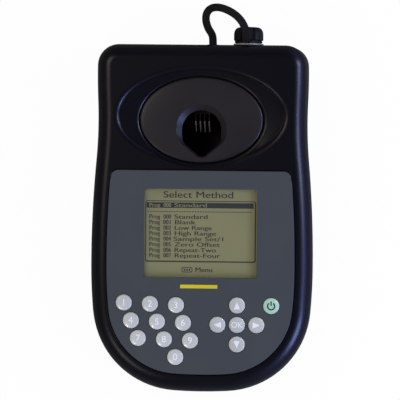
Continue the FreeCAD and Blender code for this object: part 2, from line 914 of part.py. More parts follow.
def tube_pusher():
    """Ribbed nose with a sloping lead-in, and the plate that holds it in its guide."""
    rear = well_y + well_block_rear + pusher_rest_gap
    nose_y = well_y + pusher_nose
    slope_top = nose_y + pusher_slope
    mid_z = pusher_low_z + (pusher_high_z - pusher_low_z) * 0.4
    outline_points = [
        Vector(0, nose_y, pusher_low_z),
        Vector(0, nose_y, mid_z),
        Vector(0, slope_top, pusher_high_z),
        Vector(0, rear, pusher_high_z),
        Vector(0, rear, pusher_low_z),
        Vector(0, nose_y, pusher_low_z),
    ]
    side = Part.Face(Part.makePolygon(outline_points))
    half = pusher_width / 2
    side.translate(Vector(-half, 0, 0))
    nose = side.extrude(Vector(pusher_width, 0, 0))
    plate = box(
        -pusher_plate_width / 2, pusher_plate_width / 2, rear, rear + pusher_plate, pusher_low_z, pusher_high_z
    )
    gap = (pusher_width - pusher_rib_count * pusher_rib) / pusher_rib_count
    grooves = []
    for k in range(pusher_rib_count + 1):
        x = -half - gap / 2 + k * (gap + pusher_rib)
        groove = side.extrude(Vector(gap, 0, 0))
        groove.translate(Vector(x + half, -slope_top + nose_y + 0.8, 0))
        grooves.append(groove)
    return fused([nose, plate]).cut(grooves)


def pusher_spring():
    """Bowed leaf: its tips sit in the guide's slots and its middle bears on the pusher."""
    rear = well_y + well_block_rear
    bear = rear + pusher_rest_gap + pusher_plate + 0.05
    tip_y = rear + guide_length - 1.3
    half = pusher_plate_width / 2
    tip = half + pusher_fit + 1.2
    outer = Part.Arc(Vector(-half, tip_y, 0), Vector(0, bear, 0), Vector(half, tip_y, 0)).toShape()
    lift = Vector(0, leaf_thickness, 0)
    inner = Part.Arc(Vector(half, tip_y, 0) + lift, Vector(0, bear, 0) + lift, Vector(-half, tip_y, 0) + lift).toShape()
    left_out, right_out = Vector(-tip, tip_y, 0), Vector(tip, tip_y, 0)
    edges = [
        line(left_out, Vector(-half, tip_y, 0)),
        outer,
        line(Vector(half, tip_y, 0), right_out),
        line(right_out, right_out + lift),
        line(right_out + lift, Vector(half, tip_y, 0) + lift),
        inner,
        line(Vector(-half, tip_y, 0) + lift, left_out + lift),
        line(left_out + lift, left_out),
    ]
    face = Part.Face(Part.Wire(edges))
    middle = (pusher_low_z + pusher_high_z) / 2
    face.translate(Vector(0, 0, middle - leaf_height / 2))
    return face.extrude(Vector(0, 0, leaf_height))


# Optics on each side of the well


def filter_places():
    return [(column * filter_pitch, beam_z + row * filter_pitch / 2) for row in (-1, 1) for column in (-1, 0, 1)]


def light_source_block():
    half = optic_width / 2
    body = box(-half, half, light_face - light_block_length, light_face, light_low, optic_top_z)
    bore = rearward(0, beam_z, light_face - light_block_length, light_face, led_diameter / 2 + 0.1)
    seat = rearward(0, beam_z, light_face - lens_thickness - 0.1, light_face, lens_diameter / 2 + 0.1)
    return body.cut([bore, seat])


def light_source_led():
    rear = light_face - light_block_length
    tip = rear + led_length
    body = rearward(0, beam_z, rear, tip, led_diameter / 2)
    edge = [e for e in body.Edges if abs(e.BoundBox.YMin - tip) < 0.01]
    return body.makeChamfer(1.2, edge)


def collimator_lens():
    return rearward(0, beam_z, light_face - lens_thickness, light_face - 0.05, lens_diameter / 2)


def led_board():
    half = optic_width / 2 - 1
    rear = light_face - light_block_length
    return box(-half, half, rear - board_thickness, rear, light_low + board_lift, optic_top_z)


def detector_block():
    half = optic_width / 2
    body = box(-half, half, detector_face, detector_face + detector_block_length, light_low, detector_top)
    side = filter_side / 2 + 0.1
    tools = []
    for x, z in filter_places():
        tools.append(
            box(x - side, x + side, detector_face - 1, detector_face + detector_block_length + 1, z - side, z + side)
        )
    return body.cut(tools)


def interference_filters():
    side = filter_side / 2
    low = detector_face + 0.4
    plates = [box(x - side, x + side, low, low + filter_thickness, z - side, z + side) for x, z in filter_places()]
    return Part.makeCompound(plates)


def photodiodes():
    side = photodiode_side / 2
    high = detector_face + detector_block_length
    chips = []
    for x, z in filter_places():
        chips.append(box(x - side, x + side, high - photodiode_thickness, high, z - side, z + side))
    return Part.makeCompound(chips)


def detector_board():
    right = optics_cable[0] + optics_cable[1] / 2 + 1
    return box(-optic_width / 2, right, detector_rear, detector_rear + board_thickness, light_low + board_lift, detector_top)


# Boards and cables in the base


def main_board():
    board = block(0, main_board_y, main_board_z, main_top_z, main_board_width, main_board_length)
    return board.cut([post(x, y, 0, 50, board_screw_shank + screw_play) for x, y in main_boss_at])


def socket_rows():
    """Middle of the front and the rear row of sockets."""
    reach = main_board_length / 2 - connector_length / 2 - connector_margin
    return main_board_y - reach, main_board_y + reach


def board_components():
    """Processor, memory, and the sockets that the flat cables plug into."""
    front, rear = socket_rows()
    chips = [
        block(-8, main_board_y, main_top_z, main_top_z + 1.6, 20, 20),
        block(-36, main_board_y + 6, main_top_z, main_top_z + 1.4, 12, 9),
        block(38, main_board_y - 4, main_top_z, main_top_z + 4.5, 14, 12),
    ]
    display_y = main_board_y + display_socket_offset
    for (x, width), y in ((keypad_cable, front), (display_cable, display_y), (optics_cable, rear), (port_cable, rear)):
        chips.append(block(x, y, main_top_z, main_top_z + connector_height, width + 3, connector_length))
    return Part.makeCompound(chips)


def strip(x, width, points):
    """A flat cable folded along points in the Y-Z plane, with square folds."""
    upper, lower = [], []
    for k, (y, z) in enumerate(points):
        before = points[max(k - 1, 0)]
        after = points[min(k + 1, len(points) - 1)]
        ways = []
        for a, b in ((before, (y, z)), ((y, z), after)):
            run = math.hypot(b[0] - a[0], b[1] - a[1])
            if run > 0:
                ways.append(((b[0] - a[0]) / run, (b[1] - a[1]) / run))
        ny = -sum(way[1] for way in ways)
        nz = sum(way[0] for way in ways)
        size = math.hypot(ny, nz)
        cos_half = size / len(ways)
        reach = cable_thickness / 2 / cos_half
        upper.append(Vector(x - width / 2, y + ny / size * reach, z + nz / size * reach))
        lower.append(Vector(x - width / 2, y - ny / size * reach, z - nz / size * reach))
    ring = upper + lower[::-1]
    face = Part.Face(Part.makePolygon(ring + [ring[0]]))
    return face.extrude(Vector(width, 0, 0))


def under_top(distance, w):
    """Height of a cable laid against the underside of a sloping board whose low face is at w."""
    return top_z(from_front(distance)) + w / slope_cos - cable_thickness / 2 - board_gap


def ribbon_cables():
    socket_z = main_top_z + connector_height + cable_thickness / 2 + board_gap
    front, rear = socket_rows()
    display_y = main_board_y + display_socket_offset
    keypad_w = board_top_w - board_thickness
    display_w = lcd_low - board_thickness
    low_z = floor_z + cable_floor_gap
    board_y = detector_rear + board_thickness + cable_thickness / 2 + board_gap
    tail_y = port_inner - board_thickness - cable_thickness / 2 - board_gap
    tail, bend = keypad_board_rear - cable_tail, keypad_board_rear - cable_bend
    start = main_board_from_front - display_cable_start
    keypad = [
        (from_front(tail), under_top(tail, keypad_w)),
        (from_front(bend), under_top(bend, keypad_w)),
        (from_front(bend + cable_step), under_top(bend + cable_step, keypad_w) - cable_drop),
        (front, socket_z + cable_rise),
        (front, socket_z),
    ]
    display = [
        (from_front(start), under_top(start, display_w)),
        (from_front(start + cable_tail), under_top(start + cable_tail, display_w)),
        (display_y, socket_z + 1.5 * cable_rise),
        (display_y, socket_z),
    ]
    optics = [
        (rear, socket_z),
        (rear + 6, socket_z),
        (rear + 9, low_z),
        (board_y + 3, low_z),
        (board_y, light_low + 4),
        (board_y, light_low + 12),
    ]
    port = [
        (rear, socket_z),
        (rear + 6, socket_z),
        (rear + 9, low_z),
        (tail_y - 6, low_z),
        (tail_y, port_z - 10),
        (tail_y, port_z + 2),
    ]
    routes = ((keypad_cable, keypad), (display_cable, display), (optics_cable, optics), (port_cable, port))
    return Part.makeCompound([strip(x, width, points) for (x, width), points in routes])


# Battery bay


def battery_holder():
    """Tub over the battery opening, closed above and open below."""
    low = floor_z + bay_pad
    body = block(0, bay_y, low, bay_roof + bay_wall, bay_width + 2 * bay_wall, bay_length + 2 * bay_wall)
    return body.cut(block(0, bay_y, low - 1, bay_roof, bay_width, bay_length))


def cell_places():
    return [(k - (cell_count - 1) / 2) * cell_pitch for k in range(cell_count)]


def batteries():
    cells = []
    for x in cell_places():
        cells.append(rearward(x, cell_z, bay_y - cell_length / 2, bay_y + cell_length / 2, cell_diameter / 2))
    return Part.makeCompound(cells)


def battery_contacts():
    plates = []
    for x in cell_places():
        for side in (-1, 1):
            outer = bay_y + side * bay_length / 2
            inner = outer - side * 0.6
            press = outer - side * contact_depth
            plate = box(x - 5, x + 5, min(outer, inner), max(outer, inner), cell_z - 5, cell_z + 5)
            bump = box(x - 2, x + 2, min(outer, press), max(outer, press), cell_z - 2, cell_z + 2)
            plates.append(fused([plate, bump]))
    return Part.makeCompound(plates)


def battery_door():
    plug_top = floor_z - 0.2
    plug_width, plug_length = bay_width - 2 * door_gap, bay_length - 2 * door_gap
    plate = block(0, bay_y, foot_height, foot_height + door_thickness, door_width, door_length, door_corner - door_gap)
    door = fused([plate, block(0, bay_y, foot_height + 0.5, plug_top, plug_width, plug_length)])
    tools = [block(0, bay_y, plug_top - 1.4, plug_top + 1, plug_width - 5, plug_length - 5)]
    for side in (-1, 1):
        y = bay_y + side * door_screw_y
        tools.append(post(0, y, 0, 20, screw_shank + 2 * screw_play))
        tools.append(rod(0, y, 0, foot_height + door_sink, screw_head + 2 * screw_play))
    return door.cut(tools)


def door_gasket():
    low = foot_height + door_thickness
    tools = [block(0, bay_y, low - 1, low + 2, bay_width - 2 * door_gap, bay_length - 2 * door_gap)]
    for side in (-1, 1):
        tools.append(post(0, bay_y + side * door_screw_y, 0, 20, screw_shank + 2 * screw_play))
    outer = block(0, bay_y, low, low + door_seal, door_width - 0.8, door_length - 0.8, door_corner - door_gap)
    return outer.cut(tools)


def upward_screw(x, y, seat, head_height, head, shank, length, head_form):
    """A screw driven upwards: its head lies below seat and its shank above."""
    return fused([head_form(x, y, seat - head_height, seat, head), post(x, y, seat - 0.2, seat + length, shank)])


def small_screw(x, y, seat, length):
    return upward_screw(
        x, y, seat, board_screw_head_height, board_screw_head, board_screw_shank, length, post
    )


def downward_screw(x, y, seat, length):
    screw = small_screw(x, y, 0, length)
    screw.rotate(Vector(x, y, 0), Vector(0, 1, 0), 180)
    screw.translate(Vector(0, 0, seat))
    return screw


def door_screws():
    seat = foot_height + door_sink
    screws = []
    for side in (-1, 1):
        y = bay_y + side * door_screw_y
        screws.append(upward_screw(0, y, seat, door_sink, screw_head, screw_shank, door_seat + 5 - seat, rod))
    return Part.makeCompound(screws)


# Fasteners and feet


def case_screws():
    seat = case_screw_seat_z
    length = parting_z + case_screw_depth - seat
    screws = []
    for x, y in case_bosses:
        screws.append(upward_screw(x, y, seat, screw_head_height, screw_head, screw_shank, length, rod))
    return Part.makeCompound(screws)


def board_screws():
    """Small screws of the display, keypad and main boards and of the well's base."""
    screws = []
    for x, v in display_boss_at:
        screws.append(on_top(small_screw(x, v, lcd_low - board_thickness, board_thickness + display_screw_depth)))
    for x, v in keypad_boss_at:
        screws.append(on_top(small_screw(x, v, board_top_w - board_thickness, board_thickness + keypad_screw_depth)))
    for x, y in main_boss_at:
        screws.append(downward_screw(x, y, main_top_z, board_thickness + main_screw_depth))
    for x, y in base_boss_at:
        screws.append(downward_screw(x, y, light_low, well_base_thickness + well_base_z - foot_height - 1.5))
    return Part.makeCompound(screws)


def feet():
    return Part.makeCompound([rod(x, y, 0, foot_height + 1.0, foot_diameter) for x, y in feet_at])


# Rear port, cap and strap: distances are measured outwards from the port's seat


def port_ring(start, end, outer, inner):
    ring = rearward(port_x, port_z, port_face + start, port_face + end, outer)
    return ring.cut(rearward(port_x, port_z, port_face + start - 1, port_face + end + 1, inner))


def port_seal_ring():
    return port_ring(0, port_seal, port_flange_radius - 0.2, port_thread_radius + screw_play)


def port_socket():
    """Bushing with its outer flange, threaded tube and the spigot that the cap closes on."""
    shapes = [
        rearward(port_x, port_z, port_face + port_seal, port_face + flange_front, port_flange_radius),
        rearward(port_x, port_z, port_inner, port_face + port_seal + 0.5, port_thread_radius),
        rearward(port_x, port_z, port_face + port_seal, port_face + spigot_end, spigot_radius),
    ]
    return fused(shapes).cut(rearward(port_x, port_z, port_inner - 1, port_face + spigot_end + 1, spigot_bore))


def port_nut():
    inner_wall = port_face - wall - 1.2
    ring = []
    for k in range(7):
        turn = math.radians(60 * k)
        ring.append(
            Vector(port_x + nut_radius * math.cos(turn), inner_wall, port_z + nut_radius * math.sin(turn))
        )
    nut = Part.Face(Part.makePolygon(ring)).extrude(Vector(0, -nut_thickness, 0))
    return nut.cut(rearward(port_x, port_z, inner_wall - 9, inner_wall + 9, port_thread_radius + 0.02))


def usb_insert():
    """Moulded insert with its contact tongue, and the small board behind it."""
    face = port_face + flange_front + 1.4
    core = rearward(port_x, port_z, port_inner - 0.5, face, spigot_bore - 0.05)
    pocket = box(port_x - 3.9, port_x + 3.9, face - 5, face + 1, port_z - 1.8, port_z + 1.8)
    tongue = box(port_x - 2.9, port_x + 2.9, face - 5.2, face - 0.6, port_z - 0.5, port_z + 0.5)
    right = port_cable[0] + port_cable[1] / 2 + 1
    board = box(port_x - 5, right, port_inner - board_thickness, port_inner, port_z - 5, port_z + 5)
    return fused([core.cut(pocket), tongue, board])


def port_cap():
    """Fluted knob with a hollow skirt that closes over the port's spigot."""
    start = port_face + cap_start
    knob_y = port_face + knob_start
    end = port_face + cap_length
    middle = Vector(port_x, knob_y, port_z)
    half_flute = math.asin(flute_width / 2 / cap_radius)
    step = 2 * math.pi / cap_flutes
    edges = []
    for k in range(cap_flutes):
        bottom, left, right, after = [
            middle + Vector(math.cos(turn), 0, math.sin(turn)) * reach
            for turn, reach in (
                (step * (k + 0.5), cap_radius - flute_depth),
                (step * (k + 0.5) + half_flute, cap_radius),
                (step * (k + 1.5) - half_flute, cap_radius),
                (step * (k + 1.5), cap_radius - flute_depth),
            )
        ]
        edges += [line(bottom, left), arc(middle, cap_radius, left, right), line(right, after)]
    knob = Part.Face(Part.Wire(edges)).extrude(Vector(0, end - knob_y, 0))
    neck = rearward(port_x, port_z, start, knob_y + 0.5, cap_neck_radius)
    cap = fused([knob, neck])
    return cap.cut(rearward(port_x, port_z, start - 1, end - cap_end_wall, spigot_radius + cap_clearance))


def strap_collar():
    """Ring that turns on the cap's neck, with the tongue that carries the strap over the cap."""
    low, high = collar_start, collar_start + collar_thickness
    ring = port_ring(low, high, collar_outer_radius, cap_neck_radius + collar_play)
    tongue = box(
        strap_x - tongue_width / 2,
        strap_x + tongue_width / 2,
        port_face + low,
        port_face + high,
        port_z + cap_neck_radius + collar_play + 0.3,
        strap_z + strap_diameter / 2 + 0.4,
    )
    return fused([ring, tongue])


def strap_anchor():
    """Plug that holds the strap's other end in the rear wall, with a lip on each side."""
    half, tall = anchor_width / 2, anchor_height / 2
    inner_wall = port_face - wall - 0.4
    lip = box(anchor_x - half, anchor_x + half, port_face, port_face + 0.9, port_z - tall, port_z + tall)
    core = box(
        anchor_x - half + anchor_lip + 0.05,
        anchor_x + half - anchor_lip - 0.05,
        inner_wall - 1.2,
        port_face + 0.5,
        port_z - tall + anchor_lip + 0.05,
        port_z + tall - anchor_lip - 0.05,
    )
    return fused([lip, core])


# Strap route from the collar's tongue to the anchor: x, distance from the port's seat, height over the port
strap_route = (
    (29.3, collar_start + collar_thickness, strap_z - port_z),
    (29.3, 8.4, strap_z - port_z),
    (27.9, 13.2, strap_z - port_z + 0.4),
    (25.0, 17.6, strap_z - port_z + 0.9),
    (20.8, 21.3, strap_z - port_z + 0.8),
    (15.7, 24.0, strap_z - port_z + 0.2),
    (10.4, 25.6, strap_z - port_z - 1.2),
    (5.2, 25.2, strap_z - port_z - 3.6),
    (1.9, 21.9, strap_z - port_z - 6.6),
    (1.4, 17.1, strap_z - port_z - 9.0),
    (2.9, 12.0, strap_z - port_z - 10.8),
    (5.4, 8.4, 1.0),
    (6.4, 5.6, 0.0),
    (6.4, 0.95, 0.0),
)


def cap_strap():
    """Four-sided stand-in along the strap's route, with an arc at every bend."""
    points = [Vector(x, port_face + y, port_z + z) for x, y, z in strap_route]
    edges = []
    last = points[0]
    for before, corner, after in zip(points, points[1:], points[2:]):
        arrive, leave = toward(before, corner), toward(corner, after)
        turn = arrive.getAngle(leave)
        cut = 0.45 * min((corner - before).Length, (after - corner).Length)
        radius = cut / math.tan(turn / 2)
        start, end = corner - arrive * cut, corner + leave * cut
        bisector = (leave - arrive).normalize()
        centre = corner + bisector * (radius / math.cos(turn / 2))
        edges.append(line(last, start))
        edges.append(Part.Arc(start, centre - bisector * radius, end).toShape())
        last = end
        print("strap bend radius %.1f" % radius)
    edges.append(line(last, points[-1]))
    path = Part.Wire(edges)
    reach = strap_diameter / 2 * math.sqrt(math.pi / 2)
    ring = []
    for k in range(5):
        turn = math.pi / 2 * k
        ring.append(points[0] + Vector(reach * math.cos(turn), 0, reach * math.sin(turn)))
    tube = path.makePipeShell([Part.makePolygon(ring)], True, False)
    whole = path.Length * math.pi * (strap_diameter / 2) ** 2
    print("strap length %.1f, volume share %.4f" % (path.Length, tube.Volume / whole))
    return tube


# Every node and the function that makes it
makers = {
    "upper_case": upper_case,
    "lower_case": lower_case,
    "case_gasket": case_gasket,
    "front_panel": front_panel,
    "display_window": display_window,
    "lcd_frame": lcd_frame,
    "lcd_panel": lcd_panel,
    "lcd_backlight": lcd_backlight,
    "display_board": display_board,
    "keypad_board": keypad_board,
    "key_domes": key_domes,
    "well_insert": well_insert,
    "tube_well": tube_well,
    "well_windows": well_windows,
    "tube_pusher": tube_pusher,
    "pusher_spring": pusher_spring,
    "light_source_block": light_source_block,
    "light_source_led": light_source_led,
    "collimator_lens": collimator_lens,
    "led_board": led_board,
    "detector_block": detector_block,
    "interference_filters": interference_filters,
    "photodiodes": photodiodes,
    "detector_board": detector_board,
    "main_board": main_board,
    "board_components": board_components,
    "ribbon_cables": ribbon_cables,
    "battery_holder": battery_holder,
    "batteries": batteries,
    "battery_contacts": battery_contacts,
    "battery_door": battery_door,
    "door_gasket": door_gasket,
    "door_screws": door_screws,
    "case_screws": case_screws,
    "board_screws": board_screws,
    "feet": feet,
    "port_socket": port_socket,
    "port_seal": port_seal_ring,
    "port_nut": port_nut,
    "usb_insert": usb_insert,
    "port_cap": port_cap,
    "strap_collar": strap_collar,
    "strap_anchor": strap_anchor,
    "cap_strap": cap_strap,
}

for name, maker in makers.items():
    maker().exportStep("parts/%s.step" % name)
for name, (x, d) in keys.items():
    key(x, d).exportStep("parts/%s.step" % name)
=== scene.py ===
import math
import bpy
from mathutils import Matrix, Vector


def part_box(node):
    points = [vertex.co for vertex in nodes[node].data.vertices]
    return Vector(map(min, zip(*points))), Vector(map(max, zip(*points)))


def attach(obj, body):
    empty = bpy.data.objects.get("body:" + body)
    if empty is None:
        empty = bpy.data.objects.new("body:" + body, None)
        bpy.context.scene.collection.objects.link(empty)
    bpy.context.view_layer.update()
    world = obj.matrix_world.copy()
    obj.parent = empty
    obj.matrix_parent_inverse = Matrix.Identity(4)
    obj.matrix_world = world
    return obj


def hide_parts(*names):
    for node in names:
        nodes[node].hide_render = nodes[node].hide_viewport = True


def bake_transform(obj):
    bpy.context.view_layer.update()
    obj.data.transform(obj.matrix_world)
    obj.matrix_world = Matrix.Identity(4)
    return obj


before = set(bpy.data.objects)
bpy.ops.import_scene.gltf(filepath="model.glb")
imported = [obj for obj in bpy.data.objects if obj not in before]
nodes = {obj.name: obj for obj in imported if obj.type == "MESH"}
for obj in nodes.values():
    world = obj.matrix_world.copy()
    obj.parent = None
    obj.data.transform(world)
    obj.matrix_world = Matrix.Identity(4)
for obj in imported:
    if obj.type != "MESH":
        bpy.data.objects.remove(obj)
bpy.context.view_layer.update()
mm = 0.001
near = 0.01  # millimetres: places closer than this count as one

# Plan outline and heights of the casing, in millimetres, as in the part's source
casing = {
    "length": 234.0,
    "widest": (75.0, 84.8),
    "waist": (70.4, 183.4),
    "rear": (71.0, 212.3),
    "noseRadius": 293.0,
    "shoulderRadius": 59.3,
    "flankRadius": 346.0,
    "waistRadius": 295.0,
    "cornerRadius": 15.0,
    "frontY": -123.0,
    "frontTop": 40.0,
    "rearTop": 65.0,
    "foot": 2.5,
    "parting": 27.0,
    "seam": 0.6,
    "wall": 3.2,
    "rim": 10.0,
    "base": 5.0,
    "upperLean": 0.6,
    "lowerLean": 1.7,
}
frontY = casing["frontY"]
rearY = frontY + casing["length"]
rise = casing["rearTop"] - casing["frontTop"]
slope = math.atan2(rise, casing["length"])


def topHeight(y):
    return casing["frontTop"] + rise * (y - frontY) / casing["length"]


def alongTop(distance):
    return (frontY + distance) / math.cos(slope)


# Carries what is drawn flat onto the sloping top
topFrame = Matrix.Translation((0, 0, topHeight(0))) @ Matrix.Rotation(slope, 4, "X")


# Camera: far away and nearly straight down, fitted to the photo
photoCamera = {
    "place": (144.5, -40.0, 2500.0),
    "turn": (1.122, 3.377, 0.717),
    "focalPixels": 3654.0,
    "photoPixels": 400,
    "sensor": 36.0,
}
cameraData = bpy.data.cameras.new("camera")
cameraData.sensor_width = photoCamera["sensor"]
cameraData.lens = photoCamera["focalPixels"] * photoCamera["sensor"] / photoCamera["photoPixels"]
cameraData.clip_end = 20.0
camera = bpy.data.objects.new("camera", cameraData)
camera.location = Vector(photoCamera["place"]) * mm
camera.rotation_euler = [math.radians(angle) for angle in photoCamera["turn"]]
bpy.context.collection.objects.link(camera)
bpy.context.scene.camera = camera
print("camera set")


# Small tools for modelling by hand


def pick(*chosen):
    bpy.ops.object.select_all(action="DESELECT")
    for obj in chosen:
        obj.select_set(True)
    bpy.context.view_layer.objects.active = chosen[0]
    bpy.context.view_layer.objects.active = chosen[0]


def pickNothing():
    pick(camera)
    bpy.ops.object.select_all(action="DESELECT")

def edit(obj, mode="EDGE"):
    pick(obj)
    bpy.ops.object.mode_set(mode="EDIT")
    bpy.ops.mesh.select_mode(type=mode)


def leave():
    bpy.ops.object.mode_set(mode="OBJECT")
    return bpy.context.active_object


def fit(obj, kind, **settings):
    # Adds a modifier and applies it at once
    pick(obj)
    modifier = obj.modifiers.new(kind.lower(), kind)
    for key, value in settings.items():
        setattr(modifier, key, value)
    bpy.ops.object.modifier_apply(modifier=modifier.name)
    return obj


def cut(obj, *tools):
    for tool in tools:
        fit(obj, "BOOLEAN", operation="DIFFERENCE", solver="EXACT", object=tool)
        bpy.data.objects.remove(tool)
    return obj


def unite(obj, *others):
    for other in others:
        fit(obj, "BOOLEAN", operation="UNION", solver="EXACT", object=other)
        bpy.data.objects.remove(other)
    return obj


def join(*parts):
    pick(*parts)
    bpy.ops.object.join()
    return bpy.context.active_object


def move(obj, matrix):
    obj.data.transform(matrix)
    obj.data.update()
    return obj


def settle(obj, name, body, material, replaced=(), angle=35.0, onTop=False):
    # Ends the work on a piece: true place and size, smooth shading, material and body
    if onTop:
        move(obj, topFrame)
    move(obj, Matrix.Scale(mm, 4))
    obj.name = name
    obj.data.name = name
    obj.data.materials.clear()
    obj.data.materials.append(material)
    pick(obj)
    bpy.ops.object.shade_smooth_by_angle(angle=math.radians(angle))
    fit(obj, "WEIGHTED_NORMAL", keep_sharp=True)
    if body:
        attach(obj, body)
    if replaced:
        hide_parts(*replaced)
    return obj


def placed(name, data):
    obj = bpy.data.objects.new(name, data)
    bpy.context.collection.objects.link(obj)
    return obj


def again(obj, name):
    return placed(name, obj.data.copy())


def newCurve(name):
    curve = bpy.data.curves.new(name, "CURVE")
    curve.dimensions = "3D"
    return curve


def addLine(curve, points, kind="POLY", closed=False):
    line = curve.splines.new(kind)
    line.points.add(len(points) - 1)
    for point, place in zip(line.points, points):
        point.co = (*place, 1)
    line.use_cyclic_u = closed
    return line


def toMesh(obj):
    pick(obj)
    bpy.ops.object.convert(target="MESH")
    return bpy.context.active_object


def ringMesh(name, points):
    # A closed loop of edges through these points
    curve = newCurve(name)
    addLine(curve, points, closed=True)
    return toMesh(placed(name, curve))


def prism(name, points, height):
    # A solid with this outline, its low face at the points' height
    obj = ringMesh(name, points)
    edit(obj)
    bpy.ops.mesh.select_all(action="SELECT")
    bpy.ops.mesh.edge_face_add()
    bpy.ops.mesh.extrude_region_move(TRANSFORM_OT_translate={"value": (0, 0, height)})
    bpy.ops.mesh.select_all(action="SELECT")
    bpy.ops.mesh.normals_make_consistent(inside=False)
    return leave()


def turned(name, centre, halfSizes, profile, sides=96):
    # A solid of oval rings, one above the other: profile lists how far each is moved in, and its height
    a, b = halfSizes
    pickNothing()
    inset, low = profile[0]
    bpy.ops.mesh.primitive_circle_add(vertices=sides, radius=1, fill_type="NGON", location=(0, 0, 0))
    obj = bpy.context.active_object
    obj.name = name
    place = Matrix.Translation((centre[0], centre[1], low))
    move(obj, place @ Matrix.Diagonal((a - inset, b - inset, 1, 1)))
    edit(obj, "FACE")
    bpy.ops.mesh.select_all(action="SELECT")
    for newInset, height in profile[1:]:
        bpy.ops.mesh.extrude_region_move(TRANSFORM_OT_translate={"value": (0, 0, height - low)})
        ratio = ((a - newInset) / (a - inset), (b - newInset) / (b - inset), 1)
        bpy.ops.transform.resize(value=ratio)
        inset, low = newInset, height
    bpy.ops.mesh.select_all(action="SELECT")
    bpy.ops.mesh.normals_make_consistent(inside=False)
    return leave()


def onSlope(points, w):
    # The same outline laid at height w over the sloping top
    return [(x, y, topHeight(y) + w / math.cos(slope)) for x, y, _ in points]


def loft(name, lowRing, highRing):
    # A solid between two rings with as many points each
    obj = join(ringMesh(name, lowRing), ringMesh(name + "High", highRing))
    edit(obj)
    bpy.ops.mesh.select_all(action="SELECT")
    bpy.ops.mesh.bridge_edge_loops()
    for ring in (lowRing, highRing):
        leave()
        chooseEdges(obj, lambda place: any((place - Vector(point)).length < near for point in ring))
        edit(obj)
        bpy.ops.mesh.edge_face_add()
    bpy.ops.mesh.select_all(action="SELECT")
    bpy.ops.mesh.normals_make_consistent(inside=False)
    return leave()


def slab(name, lowCorner, highCorner, bevel=0.0, segments=2):
    pickNothing()
    low, high = Vector(lowCorner), Vector(highCorner)
    bpy.ops.mesh.primitive_cube_add(size=1, location=(0, 0, 0))
    obj = bpy.context.active_object
    obj.name = name
    move(obj, Matrix.Translation((low + high) / 2) @ Matrix.Diagonal((*(high - low), 1)))
    if bevel:
        fit(obj, "BEVEL", width=bevel, segments=segments, limit_method="ANGLE")
    return obj


def chooseEdges(obj, test):
    # Selects the edges whose two ends both pass the test
    pick(obj)
    for part in (*obj.data.polygons, *obj.data.edges, *obj.data.vertices):
        part.select = False
    passed = [test(vertex.co) for vertex in obj.data.vertices]
    for edge in obj.data.edges:
        edge.select = all(passed[index] for index in edge.vertices)


# Materials


def linear(red, green, blue):
    # A colour read as 0 to 255 on screen, in the renderer's own linear scale
    shown = [value / 255 for value in (red, green, blue)]
    return [v / 12.92 if v <= 0.04045 else ((v + 0.055) / 1.055) ** 2.4 for v in shown] + [1.0]


class Flow:
    # A node's output that sums can be written with
    def __init__(self, graph, socket):
        self.graph = graph
        self.socket = socket

    def math(self, operation, *values):
        return self.graph.node("ShaderNodeMath", 0, {"operation": operation}, dict(enumerate(values)))

    def __add__(self, other):
        return self.math("ADD", self, other)

    def __sub__(self, other):
        return self.math("SUBTRACT", self, other)

    def __mul__(self, other):
        return self.math("MULTIPLY", self, other)

    def __radd__(self, other):
        return self.math("ADD", other, self)

    def __rsub__(self, other):
        return self.math("SUBTRACT", other, self)

    def __rmul__(self, other):
        return self.math("MULTIPLY", other, self)

    def ramp(self, low, high):
        # 0 below low, 1 above high and smooth between
        settings = {"interpolation_type": "SMOOTHSTEP"}
        inputs = {"Value": self, "From Min": low, "From Max": high}
        return self.graph.node("ShaderNodeMapRange", "Result", settings, inputs)


class Graph:
    # A node tree, with one method for any node
    def __init__(self, tree):
        self.tree = tree

    def feed(self, socket, value):
        if isinstance(value, Flow):
            self.tree.links.new(value.socket, socket)
        else:
            socket.default_value = value

    def node(self, kind, output=0, settings=None, inputs=None):
        made = self.tree.nodes.new(kind)
        for key, value in (settings or {}).items():
            setattr(made, key, value)
        for key, value in (inputs or {}).items():
            self.feed(made.inputs[key], value)
        return Flow(self, made.outputs[output])

    def mixed(self, share, first, second):
        # Sockets 6 and 7 of a Mix node are its colours, and output 2 is the mixed one
        return self.node("ShaderNodeMix", 2, {"data_type": "RGBA"}, {0: share, 6: first, 7: second})


class Paint(Graph):
    # A new material with a plain surface shader
    def __init__(self, name, **fixed):
        self.material = bpy.data.materials.new(name)
        self.material.use_nodes = True
        super().__init__(self.material.node_tree)
        self.shader = self.tree.nodes["Principled BSDF"]
        for key, value in fixed.items():
            self.set(key, value)

    def set(self, key, value):
        self.feed(self.shader.inputs[key], value)

    def noise(self, scale, detail=2.0, rough=0.5):
        place = self.node("ShaderNodeTexCoord", "Object")
        inputs = {"Vector": place, "Scale": scale, "Detail": detail, "Roughness": rough}
        return self.node("ShaderNodeTexNoise", "Fac", inputs=inputs)

    def bump(self, height, strength, depth):
        inputs = {"Strength": strength, "Distance": depth, "Height": height}
        self.set("Normal", self.node("ShaderNodeBump", "Normal", inputs=inputs))


# Grain and clouds of a moulded surface, in turns to the metre, and how far each changes the gloss
moulding = {"clouds": 26.0, "grain": 2600.0, "grainDepth": 0.00002, "cloudGloss": 0.07, "grainGloss": 0.05}


def moulded(name, colour, shade, roughness, strength=0.25, coat=0.0, metallic=0.0):
    # Moulded or machined surface: fine grain, slightly uneven gloss and colour
    paint = Paint(name, Metallic=metallic)
    cloud = paint.noise(moulding["clouds"], 3.0)
    fine = paint.noise(moulding["grain"], 2.0, 0.6)
    paint.set("Base Color", paint.mixed(cloud.ramp(0.3, 0.7), linear(*colour), linear(*shade)))
    uneven = moulding["cloudGloss"] * (cloud - 0.5)
    rough = moulding["grainGloss"] * (fine - 0.5)
    paint.set("Roughness", roughness + uneven + rough)
    paint.set("Coat Weight", coat)
    paint.bump(fine, strength, moulding["grainDepth"])
    return paint.material


